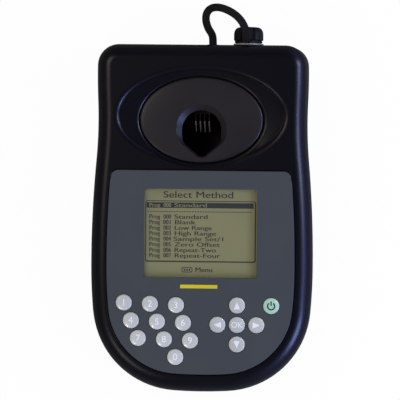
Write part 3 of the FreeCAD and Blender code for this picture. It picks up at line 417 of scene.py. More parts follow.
paints = {
    "casing": moulded("casing_blue", (10, 9, 19), (8, 8, 16), 0.3),
    "panel": moulded("panel_grey", (67, 72, 76), (64, 69, 75), 0.42),
    "insert": moulded("insert_grey", (41, 37, 38), (35, 32, 34), 0.36),
    "keyGrey": moulded("key_grey", (178, 180, 180), (171, 173, 174), 0.24, coat=0.4),
    "keyGreen": moulded("key_green", (166, 197, 181), (159, 190, 174), 0.24, coat=0.4),
    "black": moulded("black_plastic", (14, 14, 15), (11, 11, 12), 0.4),
    "rubber": moulded("black_rubber", (9, 8, 4), (7, 6, 3), 0.62, strength=0.4),
    "white": moulded("legend_white", (235, 238, 240), (228, 232, 235), 0.4),
    "flange": moulded("flange_grey", (150, 154, 156), (140, 144, 147), 0.35),
    "olive": moulded("display_back", (128, 125, 78), (125, 122, 76), 0.5),
    "ink": moulded("display_ink", (7, 7, 4), (5, 5, 3), 0.5),
    "yellow": moulded("stripe_yellow", (214, 198, 12), (206, 190, 10), 0.45),
    "greenInk": moulded("power_green", (8, 82, 52), (7, 74, 47), 0.45),
    "steel": moulded("steel", (170, 172, 174), (150, 152, 154), 0.3, metallic=1.0),
    "nickel": moulded("nickel", (190, 186, 176), (176, 172, 162), 0.25, metallic=1.0),
    "board": moulded("circuit_board", (20, 74, 44), (17, 66, 39), 0.4),
    "component": moulded("component_black", (24, 24, 26), (18, 18, 20), 0.45),
    "cable": moulded("flat_cable", (190, 190, 186), (180, 180, 176), 0.5),
    "plain": moulded("white_plastic", (215, 214, 208), (206, 205, 198), 0.4),
    "cell": moulded("cell_jacket", (60, 96, 60), (52, 86, 52), 0.35),
    "filter": moulded("filter_coating", (96, 60, 110), (80, 52, 120), 0.15),
    "glass": moulded("display_glass", (120, 122, 112), (116, 118, 108), 0.2),
    "well": moulded("well_black", (4, 4, 5), (3, 3, 4), 0.5),
    # Painted highlight: a lighter grey for the pusher's rib noses, where they catch the light
    "rib": moulded("rib_nose_painted_highlight", (128, 126, 126), (110, 108, 108), 0.4),
}


def clearPlastic():
    paint = Paint("clear_window", Alpha=0.03)
    paint.set("Base Color", linear(200, 205, 205))
    paint.set("Roughness", 0.05 + 0.05 * paint.noise(60.0, 3.0))
    return paint.material


paints["window"] = clearPlastic()
print("materials made")


# Plan outline of the casing, as in the part's source


def outlineCentres():
    widest, widestAt = casing["widest"]
    waist, waistAt = casing["waist"]
    rear, rearAt = casing["rear"]
    waistRadius, corner = casing["waistRadius"], casing["cornerRadius"]
    step, run = rear - waist, rearAt - waistAt
    rearRadius = (step**2 + run**2) / (2 * step) - waistRadius
    step, run = widest - waist, waistAt - widestAt
    upperRadius = (step**2 + run**2) / (2 * step) - waistRadius
    rearCentre = Vector((rear - rearRadius, rearAt))
    reach = rearRadius - corner
    cornerY = casing["length"] - corner
    cornerCentre = Vector((rearCentre.x + math.sqrt(reach**2 - (cornerY - rearCentre.y) ** 2), cornerY))
    waistCentre = Vector((waist + waistRadius, waistAt))
    upperCentre = Vector((widest - upperRadius, widestAt))
    flank = Vector((widest - casing["flankRadius"], widestAt))
    nose = Vector((0, casing["noseRadius"]))
    fromNose = casing["noseRadius"] - casing["shoulderRadius"]
    fromFlank = casing["flankRadius"] - casing["shoulderRadius"]
    apart = flank - nose
    along = (fromNose**2 - fromFlank**2 + apart.length**2) / (2 * apart.length)
    axis = apart.normalized()
    aside = math.sqrt(fromNose**2 - along**2)
    shoulder = nose + axis * along + Vector((-axis.y, axis.x)) * aside
    return (
        (cornerCentre, corner),
        (rearCentre, rearRadius),
        (waistCentre, -waistRadius),
        (upperCentre, upperRadius),
        (flank, casing["flankRadius"]),
        (shoulder, casing["shoulderRadius"]),
        (nose, casing["noseRadius"]),
    )


def arcPoints(centre, start, end, count):
    # Points along the short way round, without the last
    first, last = start - centre, end - centre
    turn = first.angle_signed(last)
    radius = first.length
    heading = math.atan2(first.y, first.x)
    made = []
    for k in range(count):
        angle = heading - turn * k / count
        made.append(centre + Vector((math.cos(angle), math.sin(angle))) * radius)
    return made


def meeting(here, radius, after, afterRadius, inset):
    # Where two touching arcs meet, moved in by inset
    if radius > 0 and (afterRadius < 0 or radius >= afterRadius):
        return here + (after - here).normalized() * (radius - inset)
    return after + (here - after).normalized() * (afterRadius - inset)


# Points along each arc, from the rear corner to the nose
arcSteps = (10, 4, 8, 10, 10, 20, 12)


def sidePoints(inset):
    # The right side from the rear edge to the front tip
    centres = outlineCentres()
    tip = Vector((0, inset))
    joints = [Vector((centres[0][0].x, casing["length"] - inset))]
    for (here, radius), (after, afterRadius) in zip(centres, centres[1:]):
        joints.append(meeting(here, radius, after, afterRadius, inset))
    joints.append(tip)
    made = []
    for (centre, _), start, end, count in zip(centres, joints, joints[1:], arcSteps):
        made += arcPoints(centre, start, end, count)
    return made + [tip]


def outlineRing(inset, z=0.0):
    right = sidePoints(inset)
    left = [Vector((-point.x, point.y)) for point in right[:-1]][::-1]
    return [(point.x, frontY + point.y, z) for point in right + left]


# Casing halves: a rounded block on the outline, hollowed and then cut


def caseBlock(name, inset, low, high, radius, lean, segments):
    # The outline drawn up from low to high, with the far edge rounded
    obj = prism(name, outlineRing(inset + lean, low), high - low)
    chooseEdges(obj, lambda place: abs(place.z - high) < near)
    edit(obj)
    bpy.ops.mesh.bevel(offset=radius, segments=segments, profile=0.5, affect="EDGES", clamp_overlap=False)
    leave()
    reach = casing["widest"][0] - inset
    depth = casing["length"] / 2 - inset
    middle = frontY + casing["length"] / 2
    for vertex in obj.data.vertices:
        if abs(vertex.co.z - low) < near:
            vertex.co.x *= reach / (reach - lean)
            vertex.co.y = middle + (vertex.co.y - middle) * depth / (depth - lean)
    return obj


def lifted(obj, low, high):
    # Tilts everything above low so that height high lies on the sloping top
    for vertex in obj.data.vertices:
        if vertex.co.z > low + near:
            vertex.co.z = topHeight(vertex.co.y) + (vertex.co.z - high) / math.cos(slope)
    return obj


# What lies on the top: distances run from the front edge, heights from the sloping top
panel = {
    "inset": 11.7,
    "rear": 148.8,
    "corner": 5.0,
    "recess": 1.5,
    "thickness": 1.8,
    "groove": 0.7,
    "bevel": 0.5,
    "keyHole": 5.75,
    "chamfer": 0.25,
}
panelTop = panel["thickness"] - panel["recess"]
dish = {
    "size": (115.4, 66.6),
    "centre": 185.5,
    "depth": 3.5,
    "rim": (2.6, 3.8, 2.2),  # shift, reach and drop of the rolled edge
    "rimLow": -2.3,
    "lip": (0.0, 2.6, 1.3),
    "lipStep": 0.15,
    "backing": (2.3, -5.7, -1.5),  # how far it stands round the dish, its low and its high
}
insert = {
    "size": (84.0, 58.8),
    "centre": 182.3,
    "gap": 0.8,
    "thickness": 2.8,
    "ledge": 1.2,
    "ledgeThickness": 2.3,
    # Edge and dome from below: how far moved in, and the height over the dish's floor
    "edge": ((0, -0.7), (0.15, -0.3), (0.5, 0), (1.1, 0.2), (3, 0.5), (8, 0.85), (14, 1.0)),
    "hub": 1.9,
    "bevel": 0.4,
}
well = {
    "centre": 176.3,
    "radius": 14.6,
    "flank": 40.0,
    "apex": 20.9,
    "tip": 6.0,
    "bend": 9.0,
    "funnel": 6.0,
    "flare": 2.4,
    "lip": 1.4,
    "coneDepth": 3.4,
}
wellY = frontY + well["centre"]
display = {"middle": 106.8, "width": 75.9, "length": 59.8, "opening": (86.0, 70.0)}
port = {
    "x": 30.4,
    "z": 43.0,
    "face": 110.3,
    "flange": 10.2,
    "edge": ((0, 0.6), (0, 1.3), (0.3, 1.6), (2.0, 1.6)),  # of the flange: how far moved in, and its height
    "flangeGap": 0.4,
    "thread": 7.0,
    "threadGap": 0.1,
    "spigot": 6.4,
    "spigotEnds": (96.0, 119.3),
    "bore": 5.4,
}
portFrame = Matrix.Translation((port["x"], 0, port["z"])) @ Matrix.Rotation(math.radians(-90), 4, "X")
anchor = {"x": 6.4, "width": 7.6, "height": 4.0, "gap": 0.4}
key = {
    "radius": 5.45,
    "top": 1.4,
    "round": (1.6, 0.85),
    "dome": 0.25,
    "skirt": -2.2,
    "flange": (12.5, 10.9),
    "flangeEnds": (-2.8, -1.6),
    "flangeBevel": 0.2,
    "stem": 3.0,
    "stemEnds": (-3.6, -2.7),
    "play": 1.2,
}
keyLayout = {
    "first": (-51.4, 59.8),
    "columnStep": (17.6, -0.64),
    "rowStep": (4.8, -11.9),
    "zeroX": -16.5,
    "ok": (24.9, 45.6),
    "arrowStep": 13.1,
    "power": (47.9, 58.6),
}


def digitPlace(column, row):
    first, along, down = keyLayout["first"], keyLayout["columnStep"], keyLayout["rowStep"]
    return tuple(first[k] + along[k] * column + down[k] * row for k in range(2))


keyPlaces = {str(digit): digitPlace((digit - 1) % 3, (digit - 1) // 3) for digit in range(1, 10)}
keyPlaces["0"] = (keyLayout["zeroX"], digitPlace(1, 3)[1])
arrowSides = {"ok": (0, 0), "up": (0, 1), "down": (0, -1), "left": (-1, 0), "right": (1, 0)}
for name, (across, along) in arrowSides.items():
    okX, okY = keyLayout["ok"]
    keyPlaces[name] = (okX + keyLayout["arrowStep"] * across, okY + keyLayout["arrowStep"] * along)
keyPlaces["power"] = keyLayout["power"]
# Openings under the panel that the keys' flanges move in, from one key to another
keyRows = (
    ("1", "3"),
    ("4", "6"),
    ("7", "9"),
    ("0", "0"),
    ("up", "up"),
    ("left", "right"),
    ("down", "down"),
    ("power", "power"),
)


def panelRing(inset, z=0.0):
    # The front part of the outline, closed by a straight edge across
    end = panel["rear"] - (inset - panel["inset"])
    right = [point for point in sidePoints(inset) if point.y < end]
    ahead = [point for point in sidePoints(inset) if point.y >= end][-1]
    share = (end - right[0].y) / (ahead.y - right[0].y)
    corner = right[0].lerp(ahead, share)
    radius = panel["corner"] - (inset - panel["inset"])
    centre = Vector((corner.x - radius, end - radius))
    bend = []
    for step in range(11):
        angle = math.radians(9 * step)
        bend.append(centre + Vector((math.sin(angle), math.cos(angle))) * radius)
    right = bend + [point for point in right if point.y < end - radius]
    left = [Vector((-point.x, point.y)) for point in right if point.x > near][::-1]
    return [(point.x, frontY + point.y, z) for point in right + left]


def flared(name, ring, low, lip, flare, high):
    # A cutter with this outline whose walls lean out above the lip, so that the cut edge is chamfered
    obj = prism(name, [(x, y, low) for x, y, _ in ring], lip - low)
    width = max(x for x, _, _ in ring)
    front, rear = min(y for _, y, _ in ring), max(y for _, y, _ in ring)
    deep = (rear - front) / 2
    chooseEdges(obj, lambda place: abs(place.z - lip) < near)
    for face in obj.data.polygons:
        face.select = face.normal.z > 0.9
    edit(obj, "FACE")
    bpy.ops.mesh.extrude_region_move(TRANSFORM_OT_translate={"value": (0, 0, 2 * abs(lip))})
    bpy.ops.transform.resize(value=((width + 2 * flare) / width, (deep + 2 * flare) / deep, 1))
    bpy.ops.mesh.extrude_region_move(TRANSFORM_OT_translate={"value": (0, 0, high - abs(lip))})
    return leave()


def rolled(edge, low, high, level=0.0):
    # Profile of a cutter that rounds a cut edge: its wall starts at the shift and flares over the reach
    shift, reach, drop = edge
    profile = [(shift + 0.3, low), (shift, level - drop)]
    for step in range(1, 9):
        angle = math.radians(11.25 * step)
        profile.append((shift - reach * (1 - math.cos(angle)), level - drop + drop * math.sin(angle)))
    profile.append((shift - reach, high))
    return profile


def bowlTool(dishV, insertV, dishHalf, insertHalf):
    # The long slope from the dish's edge down to the insert
    top = dish["rimLow"] + near
    inner = dish["rim"][0] + 0.3
    obj = turned("bowl", (0, insertV), insertHalf, [(0, -dish["depth"]), (0, top)], 144)
    for vertex in obj.data.vertices:
        if vertex.co.z > (top - dish["depth"]) / 2:
            vertex.co.x *= (dishHalf[0] - inner) / insertHalf[0]
            vertex.co.y = dishV + (vertex.co.y - insertV) * (dishHalf[1] - inner) / insertHalf[1]
    return obj


def keyOpenings():
    across, along = [side / 2 + key["play"] for side in key["flange"]]
    made = []
    for left, right in keyRows:
        (x0, d0), (x1, d1) = keyPlaces[left], keyPlaces[right]
        low, high = sorted((alongTop(d0), alongTop(d1)))
        made.append(slab("keyHole", (x0 - across, low - along, -8), (x1 + across, high + along, 0)))
    return made


def portRound(name, radius, *rings):
    # A round solid on the port's axis: each ring is how far moved in, and its place along the axis
    return move(turned(name, (0, 0), (radius, radius), rings, 64), portFrame)


def buildUpperCase():
    seam = casing["parting"] + casing["seam"] / 2
    wall = casing["wall"]
    blockTop = 60
    outer = caseBlock("upper_case_form", 0, seam, blockTop, casing["rim"], casing["upperLean"], 10)
    lifted(outer, seam, blockTop)
    hollow = caseBlock("hollow", wall, seam - 1, blockTop, casing["rim"] - wall, casing["upperLean"], 6)
    lifted(hollow, seam - 1, blockTop + wall)
    dishV, insertV = alongTop(dish["centre"]), alongTop(insert["centre"])
    a, b = [side / 2 for side in dish["size"]]
    c, d = [side / 2 for side in insert["size"]]
    floor = -dish["depth"] - insert["thickness"]
    around, low, high = dish["backing"]
    backing = turned("backing", (0, dishV), (a + around, b + around), [(0, low), (0, high)])
    ledgeLow = floor - insert["ledgeThickness"]
    ledge = turned("ledge", (0, insertV), (c + around, d + around), [(0, ledgeLow), (0, high)])
    cut(outer, hollow)
    unite(outer, move(backing, topFrame), move(ledge, topFrame))
    seatEdge = rolled(dish["lip"], floor, 2.0, dish["lipStep"] - dish["depth"])
    inner = insert["ledge"]
    tools = [
        turned("dishRim", (0, dishV), (a, b), rolled(dish["rim"], dish["rimLow"], 3.0), 144),
        bowlTool(dishV, insertV, (a, b), (c, d)),
        turned("seat", (0, insertV), (c, d), seatEdge, 144),
        turned("opening", (0, insertV), (c - inner, d - inner), [(0, floor - 5), (0, 2)], 144),
    ]
    ring = [(x, y / math.cos(slope), z) for x, y, z in panelRing(panel["inset"] - panel["groove"])]
    tools.append(flared("recess", ring, -panel["recess"], -0.3, 0.3, 3.0))
    half, tall = [side / 2 for side in display["opening"]]
    middle = alongTop(display["middle"])
    tools.append(slab("windowHole", (-half, middle - tall, -8), (half, middle + tall, 0)))
    for tool in tools + keyOpenings():
        move(tool, topFrame)
        cut(outer, tool)
    past = rearY + 5
    gap, side, up = anchor["gap"], anchor["width"] / 2, anchor["height"] / 2
    cut(
        outer,
        portRound("portHole", port["thread"] + port["threadGap"], (0, rearY - 12), (0, past)),
        portRound("portSeat", port["flange"] + port["flangeGap"], (0, port["face"]), (0, past)),
        slab(
            "anchorSeat",
            (anchor["x"] - side - gap, port["face"], port["z"] - up - gap),
            (anchor["x"] + side + gap, past, port["z"] + up + gap),
        ),
    )
    return settle(outer, "upper_case_shell", "casing", paints["casing"], ["upper_case"], 40)


buildUpperCase()
print("upper case built")


underside = {
    "doorGap": 0.3,
    "doorSeat": 2.2,
    "screws": ((59.0, 218.0), (58.0, 51.0)),
    "screwHole": (3.0, 9.0),  # radius and depth
}


def buildLowerCase():
    seam = casing["parting"] - casing["seam"] / 2
    wall, base, foot, lean = casing["wall"], casing["base"], casing["foot"], casing["lowerLean"]
    outer = caseBlock("lower_case_form", 0, -seam, -foot, base, lean, 8)
    hollow = caseBlock("hollow", wall, -seam - 1, -foot - wall, base - wall, lean, 3)
    for obj in (outer, hollow):
        move(obj, Matrix.Diagonal((1, 1, -1, 1)))
        obj.data.flip_normals()
    cut(outer, hollow)
    (x0, y0, _), (x1, y1, _) = [[side / mm for side in corner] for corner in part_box("battery_door")]
    gap = underside["doorGap"]
    low, high = (x0 - gap, y0 - gap, 0), (x1 + gap, y1 + gap, foot + underside["doorSeat"])
    tools = [slab("doorHole", low, high)]
    radius, depth = underside["screwHole"]
    for x, y in underside["screws"]:
        for side in (-1, 1):
            place = (side * x, frontY + y)
            tools.append(turned("screwHole", place, (radius, radius), [(0, 0), (0, depth)], 32))
    cut(outer, *tools)
    return settle(outer, "lower_case_shell", "casing", paints["casing"], ["lower_case"], 40)


buildLowerCase()
print("lower case built")


# Front panel with its window and key holes


def buildPanel():
    ring = [(x, y / math.cos(slope), -panel["recess"]) for x, y, _ in panelRing(panel["inset"])]
    plate = prism("front_panel_form", ring, panel["thickness"])
    chooseEdges(plate, lambda place: abs(place.z - panelTop) < near)
    edit(plate)
    bpy.ops.mesh.bevel(offset=panel["bevel"], segments=3, profile=0.5, affect="EDGES")
    leave()
    middle = alongTop(display["middle"])
    half, tall = display["width"] / 2, display["length"] / 2
    tools = [slab("window", (-half, middle - tall, -5), (half, middle + tall, 5))]
    radius, chamfer = panel["keyHole"], panel["chamfer"]
    rings = [(0, -5), (0, panelTop - chamfer), (-chamfer, panelTop), (-chamfer, 5)]
    for x, distance in keyPlaces.values():
        tools.append(turned("hole", (x, alongTop(distance)), (radius, radius), rings, 48))
    cut(plate, *tools)
    return settle(plate, "front_panel_plate", "casing", paints["panel"], ["front_panel"], 30, onTop=True)


buildPanel()

stripe = {"distance": 71.085, "shift": -0.9, "length": 25.0, "width": 2.4, "sunk": 0.05, "proud": 0.03}


def buildStripe():
    y = alongTop(stripe["distance"])
    half, tall = stripe["length"] / 2, stripe["width"] / 2
    low = (stripe["shift"] - half, y - tall, panelTop - stripe["sunk"])
    high = (stripe["shift"] + half, y + tall, panelTop + stripe["proud"])
    return settle(slab("stripe", low, high), "panel_stripe", "casing", paints["yellow"], onTop=True)


buildStripe()
print("panel built")


# Keys: a rounded cap with its flange and stem below the panel

legends = {"up": 90, "down": -90, "left": 180, "right": 0}
legendHeights = {"digit": 4.4, "ok": 3.7}


def textMesh(words, height, place, bold=0.0):
    pickNothing()
    bpy.ops.object.text_add(location=(0, 0, 0))
    obj = bpy.context.active_object
    obj.data.body = words
    obj.data.size = height / 0.7  # capitals are 0.7 of the size
    obj.data.align_x = "CENTER"
    obj.data.align_y = "CENTER"
    obj.data.offset = bold * obj.data.size
    obj.data.extrude = 0.02
    return move(toMesh(obj), Matrix.Translation(place))


def keyBlock(name, width, length, ends, bevel=0.0):
    return slab(name, (-width / 2, -length / 2, ends[0]), (width / 2, length / 2, ends[1]), bevel)


def buildKey():
    reach, drop = key["round"]
    rings = [(0, key["skirt"])]
    shoulder = key["top"] - key["dome"] - drop
    for step in range(6):
        angle = math.radians(18 * step)
        rings.append((reach * (1 - math.cos(angle)), shoulder + drop * math.sin(angle)))
    rings += [(key["radius"] * 0.45, key["top"] - key["dome"] * 0.3), (key["radius"] * 0.8, key["top"])]
    cap = turned("keyCap", (0, 0), (key["radius"], key["radius"]), rings, 64)
    flange = keyBlock("flange", *key["flange"], key["flangeEnds"], key["flangeBevel"])
    stem = keyBlock("stem", key["stem"], key["stem"], key["stemEnds"])
    return join(cap, flange, stem)


keyForm = buildKey()
powerMark = {"radius": 2.35, "line": 0.46, "start": 125, "sweep": 290, "steps": 24, "bar": (0.1, 3.2)}
arrowMark = {"radius": 2.2, "thickness": 0.06, "plain": (3.81, 3.3), "size": (4.3, 5.0), "back": 0.55}


def powerSign(place):
    curve = newCurve("powerSign")
    curve.bevel_depth = powerMark["line"]
    curve.bevel_resolution = 1
    radius, steps = powerMark["radius"], powerMark["steps"]
    turns = [math.radians(powerMark["start"] + powerMark["sweep"] * k / steps) for k in range(steps + 1)]
    addLine(curve, [(radius * math.cos(angle), radius * math.sin(angle), 0) for angle in turns])
    addLine(curve, [(0, y, 0) for y in powerMark["bar"]])
    obj = toMesh(placed("powerSign", curve))
    return move(obj, Matrix.Translation(place) @ Matrix.Diagonal((1, 1, 0.1, 1)))


def arrowSign(turn, place):
    # A triangle stretched lengthwise from its plain size
    pickNothing()
    radius, thickness = arrowMark["radius"], arrowMark["thickness"]
    bpy.ops.mesh.primitive_cylinder_add(vertices=3, radius=radius, depth=thickness, location=(0, 0, 0))
    stretch = [size / plain for size, plain in zip(arrowMark["size"], arrowMark["plain"])]
    shape = Matrix.Diagonal((*stretch, 1, 1)) @ Matrix.Translation((0, -arrowMark["back"], 0))
    heading = Matrix.Rotation(math.radians(turn - 90), 4, "Z")
    return move(bpy.context.active_object, Matrix.Translation(place) @ heading @ shape)


digitCaps = bpy.data.collections.new("digitCaps")
otherCaps = bpy.data.collections.new("otherCaps")
for name, (x, distance) in keyPlaces.items():
    body = "key_" + name
    v = alongTop(distance)
    cap = move(again(keyForm, body + "_cap"), Matrix.Translation((x, v, 0)))
    colour = paints["keyGreen"] if name == "power" else paints["keyGrey"]
    settle(cap, body + "_cap", body, colour, [body], 40, onTop=True)
    (digitCaps if name.isdigit() else otherCaps).objects.link(cap)
    place = (x, v, key["top"] + near)
    ink = paints["white"]
    if name == "power":
        sign, ink = powerSign(place), paints["greenInk"]
    elif name in legends:
        sign = arrowSign(legends[name], place)
    else:
        sign = textMesh(name.upper(), legendHeights.get(name, legendHeights["digit"]), place, 0.015)
    settle(sign, body + "_sign", body, ink, onTop=True)
bpy.data.objects.remove(keyForm)
print("keys built")


# Display: clear window, olive glass and the dark figures on it. Places on it are counted in picture
# pixels, and each word has its left and right ends, its middle height and its letters' height
screen = {
    "pixel": 0.677,
    "corner": (143.9, 188.9),
    "inkLevel": -3.24,
    "inkDepth": 0.03,
    "strokeShift": 0.1,
    "heading": ("Select Method", 163, 232, 195.4, 6.4),
    "table": (144.7, 201.1, 254.8, 262.4),
    "tableEdges": (0.7, 0.8, 1.2, 1.3),
    "bar": (146.0, 203.0, 252.3, 208.4),
    "barWords": (("Prog", 148.7, 159.2), ("000", 162.9, 170.3), ("Standard", 173.9, 206)),
    "barWordsAt": (205.8, 4.0),
    "dashes": {"count": 40, "first": 147, "step": 2.6, "length": 1.6, "ends": (211.6, 212.5)},
    "columns": ((148.7, 159.2), (162.9, 170.3), 173.9),
    "rows": {"first": 217.3, "step": 5.53, "height": 4.2, "letter": 4.1},
    "methods": (
        "Standard",
        "Blank",
        "Low Range",
        "High Range",
        "Sample Set/1",
        "Zero Offset",
        "Repeat-Two",
        "Repeat-Four",
    ),
    "icon": (181, 267.4, 192, 272.6),
    "iconEdges": (0.8, 0.8, 0.8, 0.8),
    "iconBars": {"count": 3, "first": 183.2, "step": 2.5, "length": 1.6, "ends": (269.2, 270.9)},
    "menu": ("Menu", 195, 211.5, 270, 4.6),
}


def onScreen(pixelX, pixelY):
    x = (pixelX - screen["corner"][0]) * screen["pixel"] - display["width"] / 2
    y = display["length"] / 2 - (pixelY - screen["corner"][1]) * screen["pixel"]
    return x, alongTop(display["middle"]) + y


def inkBar(x0, y0, x1, y1):
    (ax, ay), (bx, by) = onScreen(x0, y0), onScreen(x1, y1)
    z = screen["inkLevel"]
    return slab("ink", (ax, by, z), (bx, ay, z + screen["inkDepth"]))


def inkBars(row):
    starts = [row["first"] + row["step"] * k for k in range(row["count"])]
    return [inkBar(start, row["ends"][0], start + row["length"], row["ends"][1]) for start in starts]


def inkWords(text, x0, x1, y, height, lift=0.02):
    # Words that fill the width from x0 to x1, laid twice a little apart for a heavier stroke
    made = textMesh(text, height * screen["pixel"], (0, 0, 0))
    across = [vertex.co.x for vertex in made.data.vertices]
    px, py = onScreen((x0 + x1) / 2, y)
    stretch = Matrix.Diagonal(((x1 - x0) * screen["pixel"] / (max(across) - min(across)), 1, 1, 1))
    parts = [made, again(made, "heavier")]
    for part, side in zip(parts, (-1, 1)):
        place = (px + side * screen["strokeShift"], py, screen["inkLevel"] + lift)
        move(part, Matrix.Translation(place) @ stretch)
    return parts


def roundedBox(x0, y0, x1, y1, radius, height):
    # A rounded rectangle in the display's plane
    (ax, ay), (bx, by) = onScreen(x0, y0), onScreen(x1, y1)
    right, left, top, low = bx - radius, ax + radius, ay - radius, by + radius
    ring = []
    for corner, (cx, cy) in enumerate(((right, top), (left, top), (left, low), (right, low))):
        for step in range(7):
            angle = math.radians(90 * corner + 15 * step)
            place = (cx + radius * math.cos(angle), cy + radius * math.sin(angle))
            ring.append((*place, screen["inkLevel"] + height))
    return ring


def frameLine(x0, y0, x1, y1, radius, edges):
    # A thin rounded frame: edges are its widths at the left, top, right and bottom
    left, top, right, low = edges
    outer = prism("frameLine", roundedBox(x0, y0, x1, y1, radius, 0), screen["inkDepth"])
    hole = roundedBox(x0 + left, y0 + top, x1 - right, y1 - low, radius * 0.7, -1)
    return cut(outer, prism("frameHole", hole, 2))


def buildDisplay():
    v = alongTop(display["middle"])
    half, tall = display["width"] / 2, display["length"] / 2
    low, high = [[side / mm for side in corner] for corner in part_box("display_window")]
    width = (high[0] - low[0]) / 2
    length = (high[1] - low[1]) / 2 / math.cos(slope) - 0.2
    pane = slab("pane", (-width, v - length, -3.0), (width, v + length, -1.5), 0.1)
    settle(pane, "display_window_pane", "casing", paints["window"], ["display_window"], onTop=True)
    back = slab("back", (-half - 1, v - tall - 1, -3.6), (half + 1, v + tall + 1, -3.25))
    settle(back, "display_field", "casing", paints["olive"], onTop=True)
    inks = inkWords(*screen["heading"])
    inks += [frameLine(*screen["table"], 1.8, screen["tableEdges"]), inkBar(*screen["bar"])]
    inks += inkBars(screen["dashes"])
    light = []
    for text, x0, x1 in screen["barWords"]:
        light += inkWords(text, x0, x1, *screen["barWordsAt"], 0.05)
    rows, (label, number, title) = screen["rows"], screen["columns"]
    for row, name in enumerate(screen["methods"]):
        y = rows["first"] + rows["step"] * row
        inks += inkWords("Prog", *label, y, rows["height"])
        inks += inkWords("%03d" % row, *number, y, rows["height"])
        inks += inkWords(name, title, title + rows["letter"] * len(name), y, rows["height"])
    inks.append(frameLine(*screen["icon"], 1.2, screen["iconEdges"]))
    inks += inkBars(screen["iconBars"]) + inkWords(*screen["menu"])
    settle(join(*light), "display_bar_figures", "casing", paints["olive"], onTop=True)
    return settle(join(*inks), "display_figures", "casing", paints["ink"], onTop=True)


buildDisplay()
print("display built")


# Oval insert with the pointed round well hole and its funnel


def wellOutline(offset, z=0.0, flare=0.0):
    # The well's round hole with its pointed front, grown by offset, and flared behind the point
    angle = math.radians(well["flank"])
    side = well["radius"] + offset + flare
    apex = well["apex"] + offset / math.cos(angle)
    tip = well["tip"] + offset
    bendRadius = well["bend"] + offset + flare
    bend = Vector((side, side * math.tan(angle) - apex))
    reach = bendRadius * math.tan((math.pi / 2 - angle) / 2)
    bendStart = bend + Vector((0, reach))
    bendEnd = bend - Vector((math.cos(angle), math.sin(angle))) * reach
    bendCentre = bendStart - Vector((bendRadius, 0))
    tipCentre = Vector((0, tip / math.cos(angle) - apex))
    tipSide = tipCentre + Vector((math.sin(angle), -math.cos(angle))) * tip
    right = arcPoints(Vector((0, 0)), Vector((0, side)), Vector((side, 0)), 20) + [Vector((side, 0))]
    right += arcPoints(bendCentre, bendStart, bendEnd, 6) + [bendEnd]
    right += arcPoints(tipCentre, tipSide, tipCentre - Vector((0, tip)), 6) + [tipCentre - Vector((0, tip))]
    left = [Vector((-point.x, point.y)) for point in right[1:-1]][::-1]
    return [(point.x, wellY + point.y, z) for point in right + left]


def buildInsert():
    v = alongTop(insert["centre"])
    a, b = [side / 2 - insert["gap"] for side in insert["size"]]
    top, low = -dish["depth"], -dish["depth"] - insert["thickness"]
    rings = [(0, low)] + [(inset, top + height) for inset, height in insert["edge"]]
    plate = turned("insertPlate", (0, v), (a, b), rings, 144)
    move(plate, topFrame)
    # The hub's ring runs straight down, and its two ends lie along the slope
    hub = prism("hub", wellOutline(insert["hub"], 38), 14.5)
    for bottom, ceiling in ((-60, top - well["funnel"]), (low + 0.4, 60)):
        cut(hub, move(slab("hubEnd", (-60, -200, bottom), (60, 200, ceiling)), topFrame))
    unite(plate, hub)
    rim = top + insert["edge"][-1][1]
    hole = prism("hole", wellOutline(-well["lip"], 20), 60)
    lowRing = onSlope(wellOutline(-well["lip"]), rim - well["coneDepth"])
    cone = loft("funnel", lowRing, onSlope(wellOutline(0, 0, well["flare"]), rim))
    cut(plate, hole, cone)
    sharp = math.radians(40)
    fit(plate, "BEVEL", width=insert["bevel"], segments=2, limit_method="ANGLE", angle_limit=sharp)
    return settle(plate, "well_insert_cover", "casing", paints["insert"], ["well_insert"], 32)


buildInsert()
print("insert built")


# Rear port, its cap and the strap


def buildPort():
    face, (inside, end) = port["face"], port["spigotEnds"]
    edge = [(inset, face + height) for inset, height in port["edge"]]
    flange = portRound("flange", port["flange"], *edge)
    unite(flange, portRound("spigot", port["spigot"], (0, inside), (0, end - 0.4), (0.4, end)))
    cut(flange, portRound("bore", port["bore"], (0, 90), (0, 130)))
    return settle(flange, "port_flange", "casing", paints["flange"], ["port_socket"], 40)


cap = {
    "start": 112.2,
    "end": 123.0,
    "radius": 9.9,
    "neck": 7.8,
    "neckEnd": 114.5,
    "bore": 6.65,
    "wall": 2.6,
    "flutes": 8,
    "fluteDepth": 1.3,
    "knobStart": 114.0,
    "chamfer": (0.4, 1.04),  # its height, and how much it widens the outline
    "crownStart": 118.2,
    "crown": 0.66,
}


